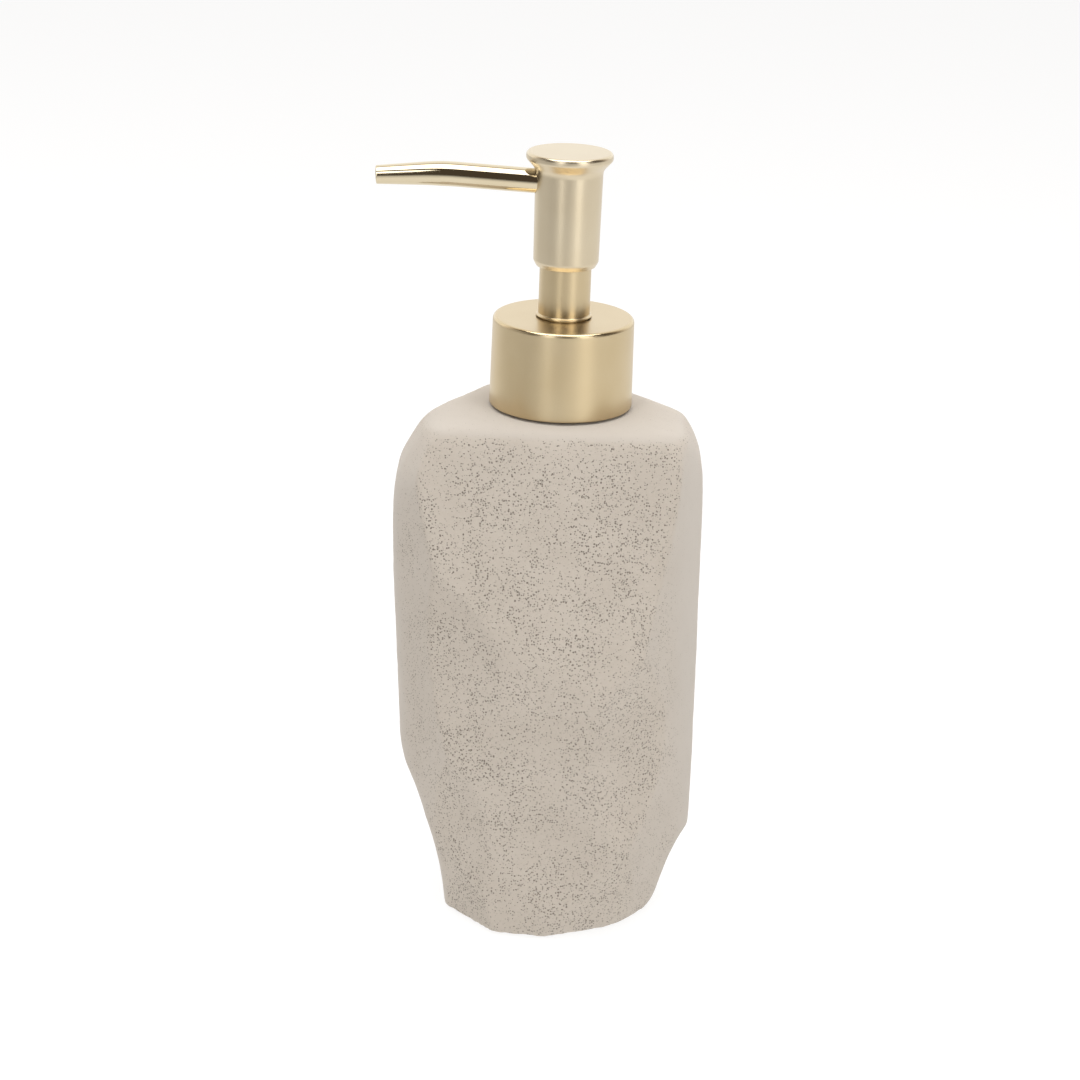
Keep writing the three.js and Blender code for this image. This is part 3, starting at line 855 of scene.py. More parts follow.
@dataclass(frozen=True)
class Coil:
    """A round wire or thread bead wound about the Z axis, made by Geometry Nodes."""

    radius: float
    turns: float
    bottom: float
    top: float
    wire: float
    closed: float = 0.0
    taper: float = 0.0
    start: float = 0.0
    steps_per_turn: int = 56
    sides: int = 14
    closed_pitch: float = 2.2
    tip_width: float = 0.15

    def build(self, name: str, material: bpy.types.Material) -> bpy.types.Object:
        """Winds the coil.

        Args:
            name: the piece's name.
            material: what it is made of.

        Returns:
            The piece, one closed shell.
        """
        tree = GeometryTree(name, material)
        radius = tree.size("Coil radius", self.radius)
        turns = tree.size("Turns", self.turns)
        bottom = tree.size("Bottom", self.bottom)
        top = tree.size("Top", self.top)
        wire = tree.size("Wire radius", self.wire)
        closed = tree.size("Closed share at each end", self.closed)
        along = tree.node("GeometryNodeSplineParameter")
        line = tree.node("GeometryNodeCurvePrimitiveLine")
        count = int(self.turns * self.steps_per_turn)
        line = tree.node("GeometryNodeResampleCurve", None, {"Curve": line, "Count": count})
        angle = self.start + along * turns * (2 * math.pi)
        lift = wire * self.closed_pitch
        closing = closed.at_least(NEARLY_ZERO)
        rise = (along / closing).clamped() + ((along - 1 + closed) / closing).clamped()
        open_share = ((along - closed) / (1.0 - closed * 2.0)).clamped()
        tied = closed.smooth(0.0, 1e-4)
        height = bottom + lift * rise * tied + (top - bottom - lift * 2.0 * tied) * open_share
        place = tree.vector(radius * angle.cosine(), radius * angle.sine(), height)
        wound = tree.node("GeometryNodeSetPosition", None, {"Geometry": line, "Position": place})
        width = self.tapered(tree, along, wire) if self.taper else wire
        section = {"Resolution": self.sides, "Radius": 1.0}
        ring = tree.node("GeometryNodeCurvePrimitiveCircle", None, section)
        inputs = {"Curve": wound, "Profile Curve": ring, "Scale": width, "Fill Caps": True}
        tree.finish(tree.node("GeometryNodeCurveToMesh", None, inputs))
        piece = bpy.data.objects.new(name, bpy.data.meshes.new(name))
        bpy.context.scene.collection.objects.link(piece)
        return tree.grow(piece)

    def tapered(self, tree: GeometryTree, along: Socket, wire: Socket) -> Socket:
        """The wire's radius along the coil, run out to thin tips at both ends."""
        taper = tree.size("Tapered share at each end", self.taper)
        ends = along.at_most(1.0 - along)
        return wire * (ends.smooth(-1e-4, taper + 1e-4) * (1.0 - self.tip_width) + self.tip_width)


def ring_of_copies(
    piece: bpy.types.Object, copies: int, radius: float, material: bpy.types.Material
) -> bpy.types.Object:
    """Repeats a piece in a ring about the Z axis, by Geometry Nodes.

    Args:
        piece: one of the copies, standing on the axis.
        copies: how many there are.
        radius: the ring's radius.
        material: what they are made of.

    Returns:
        The piece, which now holds them all.
    """
    tree = GeometryTree(piece.name + "_ring", material)
    number = tree.size("Copies", copies)
    across = tree.size("Ring radius", radius)
    points = tree.node("GeometryNodeMeshCircle", None, {"Vertices": number, "Radius": across})
    index = tree.node("GeometryNodeInputIndex")
    turn = tree.vector(0.0, 0.0, index * (2 * math.pi) / number)
    inputs = {"Points": points, "Instance": tree.geometry, "Rotation": turn}
    tree.finish(tree.node("GeometryNodeInstanceOnPoints", None, inputs))
    return tree.grow(piece)


# ---------------------------------------------------------------- bottle


@dataclass(frozen=True)
class Chip:
    """One face struck off the stone: where it faces in degrees, how far it is from the stone's
    centre in millimetres, and the radius that it is hollowed to (0 is flat)."""

    azimuth: float
    elevation: float
    distance: float
    hollow: float = 0.0

    @property
    def normal(self) -> Vector:
        """The direction that the chip faces."""
        a = math.radians(self.azimuth)
        e = math.radians(self.elevation)
        return Vector((math.cos(a) * math.cos(e), math.sin(a) * math.cos(e), math.sin(e)))

    def closeness(self, direction: Socket) -> Socket:
        """The inverse of how far the chip's face is from the centre along a direction."""
        facing = direction.dot(self.normal).at_least(0.0)
        if self.hollow == 0:
            return facing / (self.distance * MM)
        along = facing * ((self.distance + self.hollow) * MM)
        clear = self.distance * (self.distance + 2 * self.hollow) * MM * MM
        inside = along * along - clear
        struck = 1.0 / (along - inside.at_least(0.0).root()).at_least(1e-4)
        return struck * inside.smooth(0.0, 1e-9)


FRONT_CHIPS = (
    Chip(270, 9, 35.2), Chip(215, -6, 37.5), Chip(325, -4, 36.3),
    Chip(263, -4, 33.3), Chip(244, -1, 34.1, 120), Chip(306, -11, 34.3, 70),
    Chip(292, -16, 44.4), Chip(272, -24, 38.9, 76), Chip(262, -25, 54.6),
    Chip(222, -12.5, 40.9), Chip(234, -22, 40.6, 90),
)
SIDE_CHIPS = (
    Chip(180, 0, 40.3), Chip(181, -2.8, 38.9), Chip(178, -14, 41.9), Chip(184, -34, 46.1, 75),
    Chip(0, 1, 37), Chip(342, 0, 36.8), Chip(344, -24, 53.2), Chip(324, -20, 49),
    Chip(354, -48, 58.6, 30),
)
SHOULDER_CHIPS = (
    Chip(182, 28, 60), Chip(180, 50, 71), Chip(0, 26.6, 57.1), Chip(0, 55, 72.6),
    Chip(270, 50, 67.6), Chip(200, 25, 60.4), Chip(330, 25, 60.6), Chip(150, 30, 55.8),
    Chip(40, 30, 54.6), Chip(92, 25, 45.6),
)
BACK_CHIPS = (
    Chip(88, 2, 31, 300), Chip(100, -9, 32.5, 160), Chip(130, 0, 36.5), Chip(50, -1, 36),
    Chip(150, -10, 38, 90), Chip(30, -10, 40), Chip(90, -30, 52), Chip(135, -28, 53.5),
    Chip(45, -28, 54),
)


def soft_most(values: Sequence[Socket], sharpness: Socket) -> Socket:
    """The largest of some values, rounded off where two of them are nearly equal.

    Args:
        values: sockets of positive values.
        sharpness: higher leaves less rounding.

    Returns:
        The rounded largest value.
    """
    most = functools.reduce(Socket.at_least, values).at_least(1e-3)
    shares = [(value / most) ** sharpness for value in values]
    return most * sum(shares[1:], shares[0]) ** (1.0 / sharpness)


@dataclass
class Bottle:
    """The chipped stone bottle and the foam pad that it stands on."""

    centre: float = 66 * MM
    half_width: float = 36 * MM
    columns: int = 300
    rows: int = 236
    ridge_sharpness: float = 180.0
    edge_sharpness: float = 40.0
    base_sharpening: float = 2.5 * MM
    mouth_radius: float = 14.6 * MM
    mouth_chamfer: float = 0.4 * MM
    cavity_top: float = 120 * MM
    cavity_floor: float = 8 * MM
    cavity_radius: float = 23 * MM
    cavity_stretch: float = 1.25
    recess_depth: float = 1.5 * MM
    relief: float = 0.42 * MM
    relief_size: float = 9 * MM
    fine_relief: float = 0.20 * MM
    seed: float = 11.0
    smooth_land: float = 20 * MM

    def build(self) -> list[bpy.types.Object]:
        """Builds the stone and its pad."""
        return [self.stone(), self.pad()]

    def chip_groups(self) -> tuple[tuple[Chip, ...], ...]:
        """The chips of each side, with the flat land round the mouth and the flat base."""
        low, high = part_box("bottle_body")
        land = Chip(0, 90, (high.z - self.centre) / MM)
        base = Chip(0, -90, (self.centre - low.z + self.base_sharpening) / MM)
        return FRONT_CHIPS, SIDE_CHIPS, SHOULDER_CHIPS, BACK_CHIPS, (land,), (base,)

    def outer_rows(self) -> np.ndarray:
        """Unit directions from the stone's centre, from the mouth's rim down to the pad's recess."""
        low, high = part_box("bottle_body")
        pad = Extent.of("base_pad")
        stretch = self.centre / self.half_width
        rim = self.mouth_radius + self.mouth_chamfer
        foot = pad.radius + 2 * self.mouth_chamfer
        first = math.atan2((high.z - self.centre) / stretch, rim)
        last = -math.atan2((self.centre - low.z) / stretch, foot)
        t = np.linspace(first, last, self.rows)[:, None]
        turn = np.linspace(0, 2 * np.pi, self.columns, endpoint=False)[None, :]
        rows = np.stack(
            [np.cos(t) * np.cos(turn), np.cos(t) * np.sin(turn), stretch * np.sin(t) + 0 * turn], axis=-1
        )
        return rows / np.linalg.norm(rows, axis=-1, keepdims=True)

    def inner_outline(self) -> list[tuple[float, float, float]]:
        """The bore and cavity from the mouth down: radius, height and stretch along X."""
        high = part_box("bottle_body")[1].z
        r = self.cavity_radius
        floor = self.cavity_floor
        wide = self.cavity_stretch
        heights = np.linspace(high - self.mouth_chamfer, self.cavity_top, 6)
        bore = [(self.mouth_radius, z, 1.0) for z in heights]
        room = [
            (r - 8.0 * MM, self.cavity_top - 0.4 * MM, 1.03),
            (r - 6.5 * MM, self.cavity_top - 2.4 * MM, 1.12),
            (r - 3.0 * MM, 113 * MM, wide),
            (r - 1.0 * MM, 109 * MM, wide),
            (r, 104 * MM, wide),
            (r, 80 * MM, wide),
            (r, 60 * MM, wide),
            (r, floor + 35 * MM, wide),
            (r - 2.0 * MM, floor + 12 * MM, wide),
            (r - 3.5 * MM, floor + 5 * MM, wide),
            (r - 8.0 * MM, floor, wide),
            (r * 0.35, floor, wide),
        ]
        return bore + room

    def under_outline(self) -> list[Point]:
        """The recess under the stone, from its rim inwards."""
        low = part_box("bottle_body")[0].z
        r = Extent.of("base_pad").radius + 0.75 * self.mouth_chamfer
        roof = low + self.recess_depth
        corner = 0.3 * MM
        return [(r, low + self.mouth_chamfer), (r, roof - corner), (r - corner, roof), (r * 0.5, roof)]

    def stone(self) -> bpy.types.Object:
        """Builds the stone: rows of directions that a tree pushes out to the chips, and a cavity."""
        outer = self.outer_rows()
        turn = np.linspace(0, 2 * np.pi, self.columns, endpoint=False)
        ring = np.stack([np.cos(turn), np.sin(turn), 0 * turn], axis=-1)
        up = np.array([0.0, 0.0, 1.0])
        inner = [ring * [r * wide, r, 0] + up * z for r, z, wide in self.inner_outline()]
        under = [ring * r + up * z for r, z in self.under_outline()]
        rows = inner[::-1] + [row * MM + up * self.centre for row in outer] + under
        shape = bmesh.new()
        outside = shape.verts.layers.float.new("outer")
        grid = []
        first_outer = len(inner)
        for index, row in enumerate(rows):
            verts = [shape.verts.new(place) for place in row]
            is_outer = first_outer <= index < first_outer + self.rows
            for vert in verts:
                vert[outside] = 1.0 if is_outer else 0.0
            grid.append(verts)
        floor = shape.verts.new((0, 0, self.cavity_floor))
        roof = shape.verts.new((0, 0, self.under_outline()[-1][1]))
        for i in range(self.columns):
            j = (i + 1) % self.columns
            for upper, lower in zip(grid, grid[1:]):
                shape.faces.new((upper[i], lower[i], lower[j], upper[j]))
            shape.faces.new((floor, grid[0][i], grid[0][j]))
            shape.faces.new((grid[-1][j], grid[-1][i], roof))
        mesh = bpy.data.meshes.new("stone_bottle")
        shape.to_mesh(mesh)
        shape.free()
        piece = bpy.data.objects.new("stone_bottle", mesh)
        bpy.context.scene.collection.objects.link(piece)
        self.chipping(CastStone().material()).grow(piece)
        return fit(piece, Body.BOTTLE, CastStone(), "bottle_body")

    def chipping(self, material: bpy.types.Material) -> GeometryTree:
        """The tree that pushes each outer point out to the nearest chip and roughens it.

        Args:
            material: the stone's material.

        Returns:
            The tree, ready to run.
        """
        tree = GeometryTree("Chipped stone", material)
        centre_z = tree.size("Centre height", self.centre)
        ridges = tree.size("Ridge sharpness", self.ridge_sharpness)
        edges = tree.size("Edge sharpness", self.edge_sharpness)
        relief = tree.size("Relief", self.relief)
        fine_relief = tree.size("Fine relief", self.fine_relief)
        seed = tree.size("Seed", self.seed)
        outer = tree.node("GeometryNodeInputNamedAttribute", {"data_type": "FLOAT"}, {"Name": "outer"})
        position = tree.node("GeometryNodeInputPosition")
        centre = tree.vector(0.0, 0.0, centre_z)
        offset = tree.vector_math("SUBTRACT", position, centre)
        direction = tree.node("ShaderNodeVectorMath", {"operation": "NORMALIZE"}, {0: offset})
        sides = [
            soft_most([chip.closeness(direction) for chip in chips], ridges)
            for chips in self.chip_groups()
        ]
        low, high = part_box("bottle_body")
        flat_base = (centre_z - low.z) / direction.dot((0, 0, -1)).at_least(1e-3)
        radius = (1.0 / soft_most(sides, edges)).at_most(flat_base)
        struck = tree.vector_math("ADD", tree.scaled(direction, radius), centre)
        coarse = tree.noise(struck, self.relief_size, 2.0, seed) - 0.5
        fine = tree.noise(struck, self.relief_size / 3.2, 2.0, seed + 5.0) - 0.5
        x, y, z = tree.parts(struck)
        off_axis = (x * x + y * y).root()
        outside_land = off_axis.smooth(self.smooth_land, self.smooth_land * 1.3)
        land = z.smooth(high.z - 1.0 * MM, high.z) * (1.0 - outside_land)
        base = 1.0 - z.smooth(low.z, low.z + 1.5 * MM)
        rough = (coarse * relief + fine * fine_relief) * (1.0 - land) * (1.0 - base)
        final = tree.vector_math("ADD", struck, tree.scaled(direction, rough))
        shaped = tree.node(
            "GeometryNodeSetPosition", None,
            {"Geometry": tree.geometry, "Selection": outer, "Position": final},
        )
        normal = tree.node("GeometryNodeInputNormal")
        nx, _, nz = tree.parts(normal)
        worn = nx.magnitude().smooth(0.72, 0.96) * 0.75 + nz.smooth(0.45, 0.9) * 0.7
        pitting = (1.0 - worn).clamped() * outer
        stored = tree.node(
            "GeometryNodeStoreNamedAttribute", {"data_type": "FLOAT", "domain": "POINT"},
            {"Geometry": shaped, "Name": "pitting", "Value": pitting},
        )
        tree.finish(stored)
        return tree

    def pad(self) -> bpy.types.Object:
        """Builds the foam pad, its cut edge slightly bulged by the weight on it."""
        size = Extent.of("base_pad")
        bulge = 0.25 * MM
        outline = Outline((
            Corner(0, size.bottom),
            Corner(size.radius - bulge, size.bottom, 0.4 * MM),
            Corner(size.radius, size.middle, 0.8 * MM),
            Corner(size.radius - bulge, size.top, 0.4 * MM),
            Corner(0, size.top),
        ))
        piece = fit(revolve("foam_pad", outline), Body.BOTTLE, PadFoam(), "base_pad")
        return piece


# ---------------------------------------------------------------- stopper


@dataclass
class Stopper:
    """The threaded neck that plugs the bottle's mouth, with its ribbed seal."""

    bore: float = 10.4 * MM
    plug_radius: float = 12.6 * MM
    rim_radius: float = 13.8 * MM
    neck_radius: float = 12 * MM
    flange_thickness: float = 1.2 * MM
    groove_gap: float = 2 * MM
    thread_pitch: float = 4.23 * MM
    thread_turns: float = 1.6
    thread_bead: float = 0.9 * MM
    thread_lift: float = 2.6 * MM
    seal_ribs: int = 4
    seal_valley: float = 13.7 * MM

    def build(self) -> list[bpy.types.Object]:
        """Builds the neck, its thread and the seal."""
        return [self.neck(), self.thread(), self.seal()]

    def flange_bottom(self) -> float:
        """The height of the flange's underside, which rests just over the stone."""
        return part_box("bottle_body")[1].z + 0.3 * MM

    def neck(self) -> bpy.types.Object:
        """Builds the neck, its flange and the plug below it."""
        size = Extent.of("neck_insert")
        flange = self.flange_bottom()
        flange_top = flange + self.flange_thickness
        lip = 1 * MM
        outline = Outline((
            Corner(self.bore, size.bottom, 0.2 * MM),
            Corner(self.rim_radius, size.bottom, 0.4 * MM),
            Corner(self.rim_radius, size.bottom + lip, 0.2 * MM),
            Corner(self.plug_radius, size.bottom + lip, 0.2 * MM),
            Corner(self.plug_radius, flange - self.groove_gap, 0.2 * MM),
            Corner(self.rim_radius, flange - self.groove_gap, 0.2 * MM),
            Corner(self.rim_radius, flange, 0.15 * MM),
            Corner(size.radius, flange, 0.3 * MM),
            Corner(size.radius, flange_top, 0.4 * MM),
            Corner(self.neck_radius, flange_top, 0.5 * MM),
            Corner(self.neck_radius, size.top, 0.5 * MM),
            Corner(self.bore, size.top, 0.3 * MM),
        ))
        neck = revolve("threaded_neck", outline, INNER_FACETS)
        return fit(neck, Body.STOPPER, WhitePlastic(), "neck_insert")

    def thread(self) -> bpy.types.Object:
        """Builds the neck's outside thread."""
        bottom = self.flange_bottom() + self.flange_thickness + self.thread_lift
        coil = Coil(
            radius=self.neck_radius, turns=self.thread_turns, bottom=bottom,
            top=bottom + self.thread_pitch * self.thread_turns, wire=self.thread_bead, taper=0.08,
        )
        piece = coil.build("neck_thread", WhitePlastic().material())
        return fit(piece, Body.STOPPER, WhitePlastic())

    def seal(self) -> bpy.types.Object:
        """Builds the seal, whose soft ribs grip the mouth's bore."""
        size = Extent.of("plug_seal")
        inner = self.plug_radius + 0.3 * MM
        step = (size.top - size.bottom) / self.seal_ribs
        corners = [
            Corner(inner, size.bottom, 0.15 * MM),
            Corner(self.seal_valley, size.bottom, 0.2 * MM),
        ]
        for rib in range(self.seal_ribs):
            z = size.bottom + rib * step
            corners.append(Corner(size.radius, z + 0.42 * step, 0.5 * MM))
            corners.append(Corner(size.radius, z + 0.58 * step, 0.5 * MM))
            corners.append(Corner(self.seal_valley, z + step, 0.3 * MM))
        corners.append(Corner(inner, size.top, 0.15 * MM))
        seal = revolve("ribbed_seal", Outline(tuple(corners)), INNER_FACETS)
        return fit(seal, Body.STOPPER, Silicone(), "plug_seal")


# ---------------------------------------------------------------- collar


@dataclass
class Collar:
    """The gold collar and the white screw cap inside it."""

    wall: float = 0.8 * MM
    taper: float = 0.3 * MM
    top_thickness: float = 1.4 * MM
    hole_radius: float = 6.6 * MM
    rim_softness: float = 0.95 * MM
    cap_bore: float = 13.4 * MM
    cap_radius: float = 15.2 * MM
    cap_top: float = 1.9 * MM
    ribs: int = 24
    rib_radius: float = 0.5 * MM
    thread_pitch: float = 4.23 * MM
    thread_turns: float = 1.6
    thread_bead: float = 0.9 * MM
    thread_lift: float = 2.3 * MM

    def build(self) -> list[bpy.types.Object]:
        """Builds the collar, the screw cap, its ribs and its thread."""
        return [self.shell(), self.cap(), self.cap_ribs(), self.cap_thread()]

    def shell(self) -> bpy.types.Object:
        """Builds the drawn metal shell, with its soft upper rim."""
        size = Extent.of("collar_shell")
        upper = size.radius - self.taper
        under = size.top - self.top_thickness
        outline = Outline((
            Corner(size.radius - self.wall, size.bottom, 0.2 * MM),
            Corner(size.radius, size.bottom, 0.35 * MM),
            Corner(upper, size.top, self.rim_softness),
            Corner(self.hole_radius, size.top, 0.35 * MM),
            Corner(self.hole_radius, under, 0.2 * MM),
            Corner(upper - self.wall, under, 0.5 * MM),
        ))
        return fit(revolve("gold_collar", outline), Body.COLLAR, SatinGold(), "collar_shell")

    def cap(self) -> bpy.types.Object:
        """Builds the screw cap."""
        size = Extent.of("screw_cap")
        under = size.top - self.cap_top
        outline = Outline((
            Corner(self.cap_bore, size.bottom, 0.3 * MM),
            Corner(self.cap_radius, size.bottom, 0.3 * MM),
            Corner(self.cap_radius, size.top, 0.5 * MM),
            Corner(self.hole_radius, size.top, 0.2 * MM),
            Corner(self.hole_radius, under, 0.2 * MM),
            Corner(self.cap_bore, under, 0.4 * MM),
        ))
        cap = revolve("white_screw_cap", outline, INNER_FACETS)
        return fit(cap, Body.COLLAR, WhitePlastic(), "screw_cap")

    def cap_ribs(self) -> bpy.types.Object:
        """Builds the ribs that the collar grips the cap by."""
        size = Extent.of("screw_cap")
        outline = Outline((
            Corner(0, size.bottom + 0.4 * MM),
            Corner(self.rib_radius, size.bottom + 0.4 * MM, 0.3 * MM),
            Corner(self.rib_radius, size.top - 1.2 * MM, 0.3 * MM),
            Corner(0, size.top - 1.2 * MM),
        ))
        rib = revolve("screw_cap_ribs", outline, 16)
        ring = ring_of_copies(rib, self.ribs, size.radius - self.rib_radius, WhitePlastic().material())
        return fit(ring, Body.COLLAR, WhitePlastic())

    def cap_thread(self) -> bpy.types.Object:
        """Builds the cap's inside thread, half a pitch off the neck's."""
        bottom = Extent.of("screw_cap").bottom + self.thread_lift + self.thread_pitch / 2
        coil = Coil(
            radius=self.cap_bore, turns=self.thread_turns, bottom=bottom,
            top=bottom + self.thread_pitch * self.thread_turns, wire=self.thread_bead, taper=0.08,
        )
        piece = coil.build("screw_cap_thread", WhitePlastic().material())
        return fit(piece, Body.COLLAR, WhitePlastic())


# ---------------------------------------------------------------- pump core


@dataclass
class PumpCore:
    """The pump's fixed parts: cylinder, valve, spring, guide, dip tube and gold chimney."""

    bore: float = 5.4 * MM
    wall: float = 1.2 * MM
    tube_radius: float = 3 * MM
    tube_bore: float = 2.2 * MM
    tube_socket: float = 8 * MM
    tube_slant: float = math.radians(25)
    flange_thickness: float = 1.4 * MM
    valve_room: float = 3.2 * MM
    seat_rise: float = 6 * MM
    stem_radius: float = 2.8 * MM
    guide_reach: float = 7 * MM
    chimney_wall: float = 0.4 * MM
    chimney_radius: float = 6.3 * MM
    foot_height: float = 1.5 * MM
    spring_wire: float = 0.45 * MM
    spring_turns: int = 7
    spring_keep: float = 0.5
    gap: float = 0.3 * MM

    def build(self) -> list[bpy.types.Object]:
        """Builds the fixed parts and dresses the valve cage."""
        return [
            self.housing(), self.gasket(), self.tube(), self.spring(), self.guide(), self.chimney(),
            self.inlet_ball(), dress("ball_cage", WhitePlastic()),
        ]

    def housing(self) -> bpy.types.Object:
        """Builds the milky cylinder, from the tube's socket up to its flange."""
        size = Extent.of("pump_housing")
        cage = Extent.of("ball_cage")
        outer = self.bore + self.wall
        socket = self.tube_radius + self.gap
        step = size.bottom + self.tube_socket
        seat = step + self.seat_rise
        hole = 1.3 * MM
        outline = Outline((
            Corner(socket, size.bottom, 0.2 * MM),
            Corner(socket + self.wall, size.bottom, 0.4 * MM),
            Corner(socket + self.wall, step + 1 * MM, 1.5 * MM),
            Corner(outer, step + 5 * MM, 1.5 * MM),
            Corner(outer, size.top - self.flange_thickness, 0.3 * MM),
            Corner(size.radius, size.top - self.flange_thickness, 0.3 * MM),
            Corner(size.radius, size.top, 0.3 * MM),
            Corner(self.bore, size.top, 0.4 * MM),
            Corner(self.bore, cage.bottom - self.gap, 0.1 * MM),
            Corner(self.valve_room, cage.bottom - self.gap, 0.1 * MM),
            Corner(self.valve_room, seat + 1.6 * MM, 0.3 * MM),
            Corner(hole, seat, 0.2 * MM),
            Corner(hole, step, 0.2 * MM),
            Corner(socket, step, 0.2 * MM),
        ))
        cylinder = revolve("pump_cylinder", outline, INNER_FACETS)
        return fit(cylinder, Body.PUMP_CORE, NaturalPlastic(), "pump_housing")

    def gasket(self) -> bpy.types.Object:
        """Builds the flat gasket between the neck and the cylinder's flange."""
        size = Extent.of("neck_gasket")
        inner = 8.8 * MM
        outline = Outline((
            Corner(inner, size.bottom, 0.25 * MM),
            Corner(size.radius, size.bottom, 0.25 * MM),
            Corner(size.radius, size.top, 0.25 * MM),
            Corner(inner, size.top, 0.25 * MM),
        ))
        gasket = revolve("flat_gasket", outline, INNER_FACETS)
        return fit(gasket, Body.PUMP_CORE, Silicone(), "neck_gasket")

    def tube(self) -> bpy.types.Object:
        """Builds the dip tube, cut at a slant at its foot."""
        size = Extent.of("dip_tube")
        outline = Outline((
            Corner(self.tube_bore, size.bottom, 0.05 * MM),
            Corner(self.tube_radius, size.bottom, 0.1 * MM),
            Corner(self.tube_radius, size.top, 0.2 * MM),
            Corner(self.tube_bore, size.top, 0.2 * MM),
        ))

        def slant(places: np.ndarray) -> np.ndarray:
            """Lifts the foot's points along the slant."""
            foot = places[:, 2] < size.bottom + 1 * MM
            lift = (places[:, 0] + self.tube_radius) * math.tan(self.tube_slant)
            places[:, 2] += np.where(foot, lift, 0.0)
            return places

        piece = moved(revolve("dip_straw", outline, INNER_FACETS), slant)
        return fit(piece, Body.PUMP_CORE, NaturalPlastic(), "dip_tube")

    def spring(self) -> bpy.types.Object:
        """Builds the return spring at its rest length; nothing here shortens it as the head goes down.
        """
        size = Extent.of("return_spring")
        coil = Coil(
            radius=size.radius - self.spring_wire, turns=self.spring_turns,
            bottom=size.bottom + self.spring_wire, top=size.top - self.spring_wire,
            wire=self.spring_wire, closed=1 / self.spring_turns,
        )
        piece = coil.build("spring_coil", Steel().material())
        fit(piece, Body.PUMP_CORE, Steel(), "return_spring")
        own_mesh(piece)
        return piece

    def guide(self) -> bpy.types.Object:
        """Builds the stem's guide: a tube in the cylinder, a flange, and a tube up the chimney."""
        size = Extent.of("lock_ring")
        bore = self.stem_radius + self.gap
        flange = size.bottom + self.guide_reach
        neck = self.chimney_radius - self.chimney_wall - self.gap
        outline = Outline((
            Corner(bore, size.bottom, 0.2 * MM),
            Corner(self.bore - self.gap, size.bottom, 0.4 * MM),
            Corner(self.bore - self.gap, flange, 0.2 * MM),
            Corner(size.radius, flange, 0.3 * MM),
            Corner(size.radius, flange + self.flange_thickness, 0.4 * MM),
            Corner(neck, flange + self.flange_thickness, 0.3 * MM),
            Corner(neck, size.top, 0.5 * MM),
            Corner(bore, size.top, 0.3 * MM),
        ))
        guide = revolve("stem_guide", outline, INNER_FACETS)
        return fit(guide, Body.PUMP_CORE, WhitePlastic(), "lock_ring")

    def chimney(self) -> bpy.types.Object:
        """Builds the gold sleeve, which sweeps out to a thin bright foot on the collar."""
        size = Extent.of("chimney_sleeve")
        foot = Extent.of("collar_shell").top + self.gap
        inner = self.chimney_radius - self.chimney_wall
        outline = Outline((
            Corner(inner, size.bottom, 0.1 * MM),
            Corner(self.chimney_radius, size.bottom, 0.1 * MM),
            Corner(self.chimney_radius, foot, 0.05 * MM),
            Corner(size.radius, foot, 0.12 * MM),
            Corner(size.radius, foot + 0.3 * MM, 0.14 * MM),
            Corner(self.chimney_radius, foot + 0.45 * MM, 1.1 * MM),
            Corner(self.chimney_radius, size.top, 0.4 * MM),
            Corner(inner, size.top, 0.15 * MM),
        ))
        return fit(revolve("gold_chimney", outline), Body.PUMP_CORE, SatinGold(), "chimney_sleeve")

    def inlet_ball(self) -> bpy.types.Object:
        """Builds the steel ball of the inlet valve."""
        return steel_ball("inlet_valve_ball", "inlet_ball", Body.INLET_VALVE)


def steel_ball(name: str, node: str, body: Body) -> bpy.types.Object:
    """Builds a valve ball in a node's place.

    Args:
        name: the piece's name.
        node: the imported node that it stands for.
        body: what it moves with.

    Returns:
        The piece.
    """
    size = Extent.of(node)
    radius = (size.top - size.bottom) / 2
    shape = bmesh.new()
    bmesh.ops.create_icosphere(shape, subdivisions=4, radius=radius)
    bmesh.ops.translate(shape, verts=shape.verts, vec=(0, 0, size.middle))
    return fit(piece_of(name, shape), body, Steel(), node)


# ---------------------------------------------------------------- head


@dataclass(frozen=True)
class SpoutLine:
    """The spout's centre line: it rises from the head to a soft bend, and falls to its tip."""

    axis: float = 188.9 * MM
    head_radius: float = 8.2 * MM
    start: float = -4.2 * MM
    bend: float = -30.8 * MM
    tip: float = -46.4 * MM
    reach: float = 4.5 * MM
    rise: float = math.tan(math.radians(2.6))
    fall: float = math.tan(math.radians(3.6))

    def height(self, x: np.ndarray) -> np.ndarray:
        """The height of the line at each place along X."""
        top = self.axis + self.rise * (-self.bend - self.head_radius)
        inward = top - self.rise * (x - self.bend)
        outward = top - self.fall * (self.bend - x)
        straight = np.where(x > self.bend, inward, outward)
        near = np.clip(1 - np.abs(x - self.bend) / self.reach, 0, 1)
        return straight - (self.rise + self.fall) * self.reach / 4 * near**2

    def length(self) -> float:
        """How long the line is."""
        x = np.linspace(self.start, self.tip, 400)
        return float(np.hypot(np.diff(x), np.diff(self.height(x))).sum())

    def bent(self, places: np.ndarray) -> np.ndarray:
        """Takes points made about the Z axis, with Z as the way along, to the line."""
        x = np.linspace(self.start, self.tip - 3 * MM, 600)
        z = self.height(x)
        gone = np.concatenate([[0.0], np.hypot(np.diff(x), np.diff(z)).cumsum()])
        way = places[:, 2]
        at_x = np.interp(way, gone, x)
        at_z = np.interp(way, gone, z)
        at_x = np.where(way < 0, self.start - way, at_x)
        at_z = np.where(way < 0, self.height(at_x), at_z)
        step = 0.05 * MM
        slope = (self.height(at_x + step) - self.height(at_x - step)) / (2 * step)
        across = np.hypot(slope, 1.0)
        up_x, up_z = -slope / across, 1 / across
        return np.stack(
            [at_x + places[:, 0] * up_x, places[:, 1], at_z + places[:, 0] * up_z], axis=-1
        )


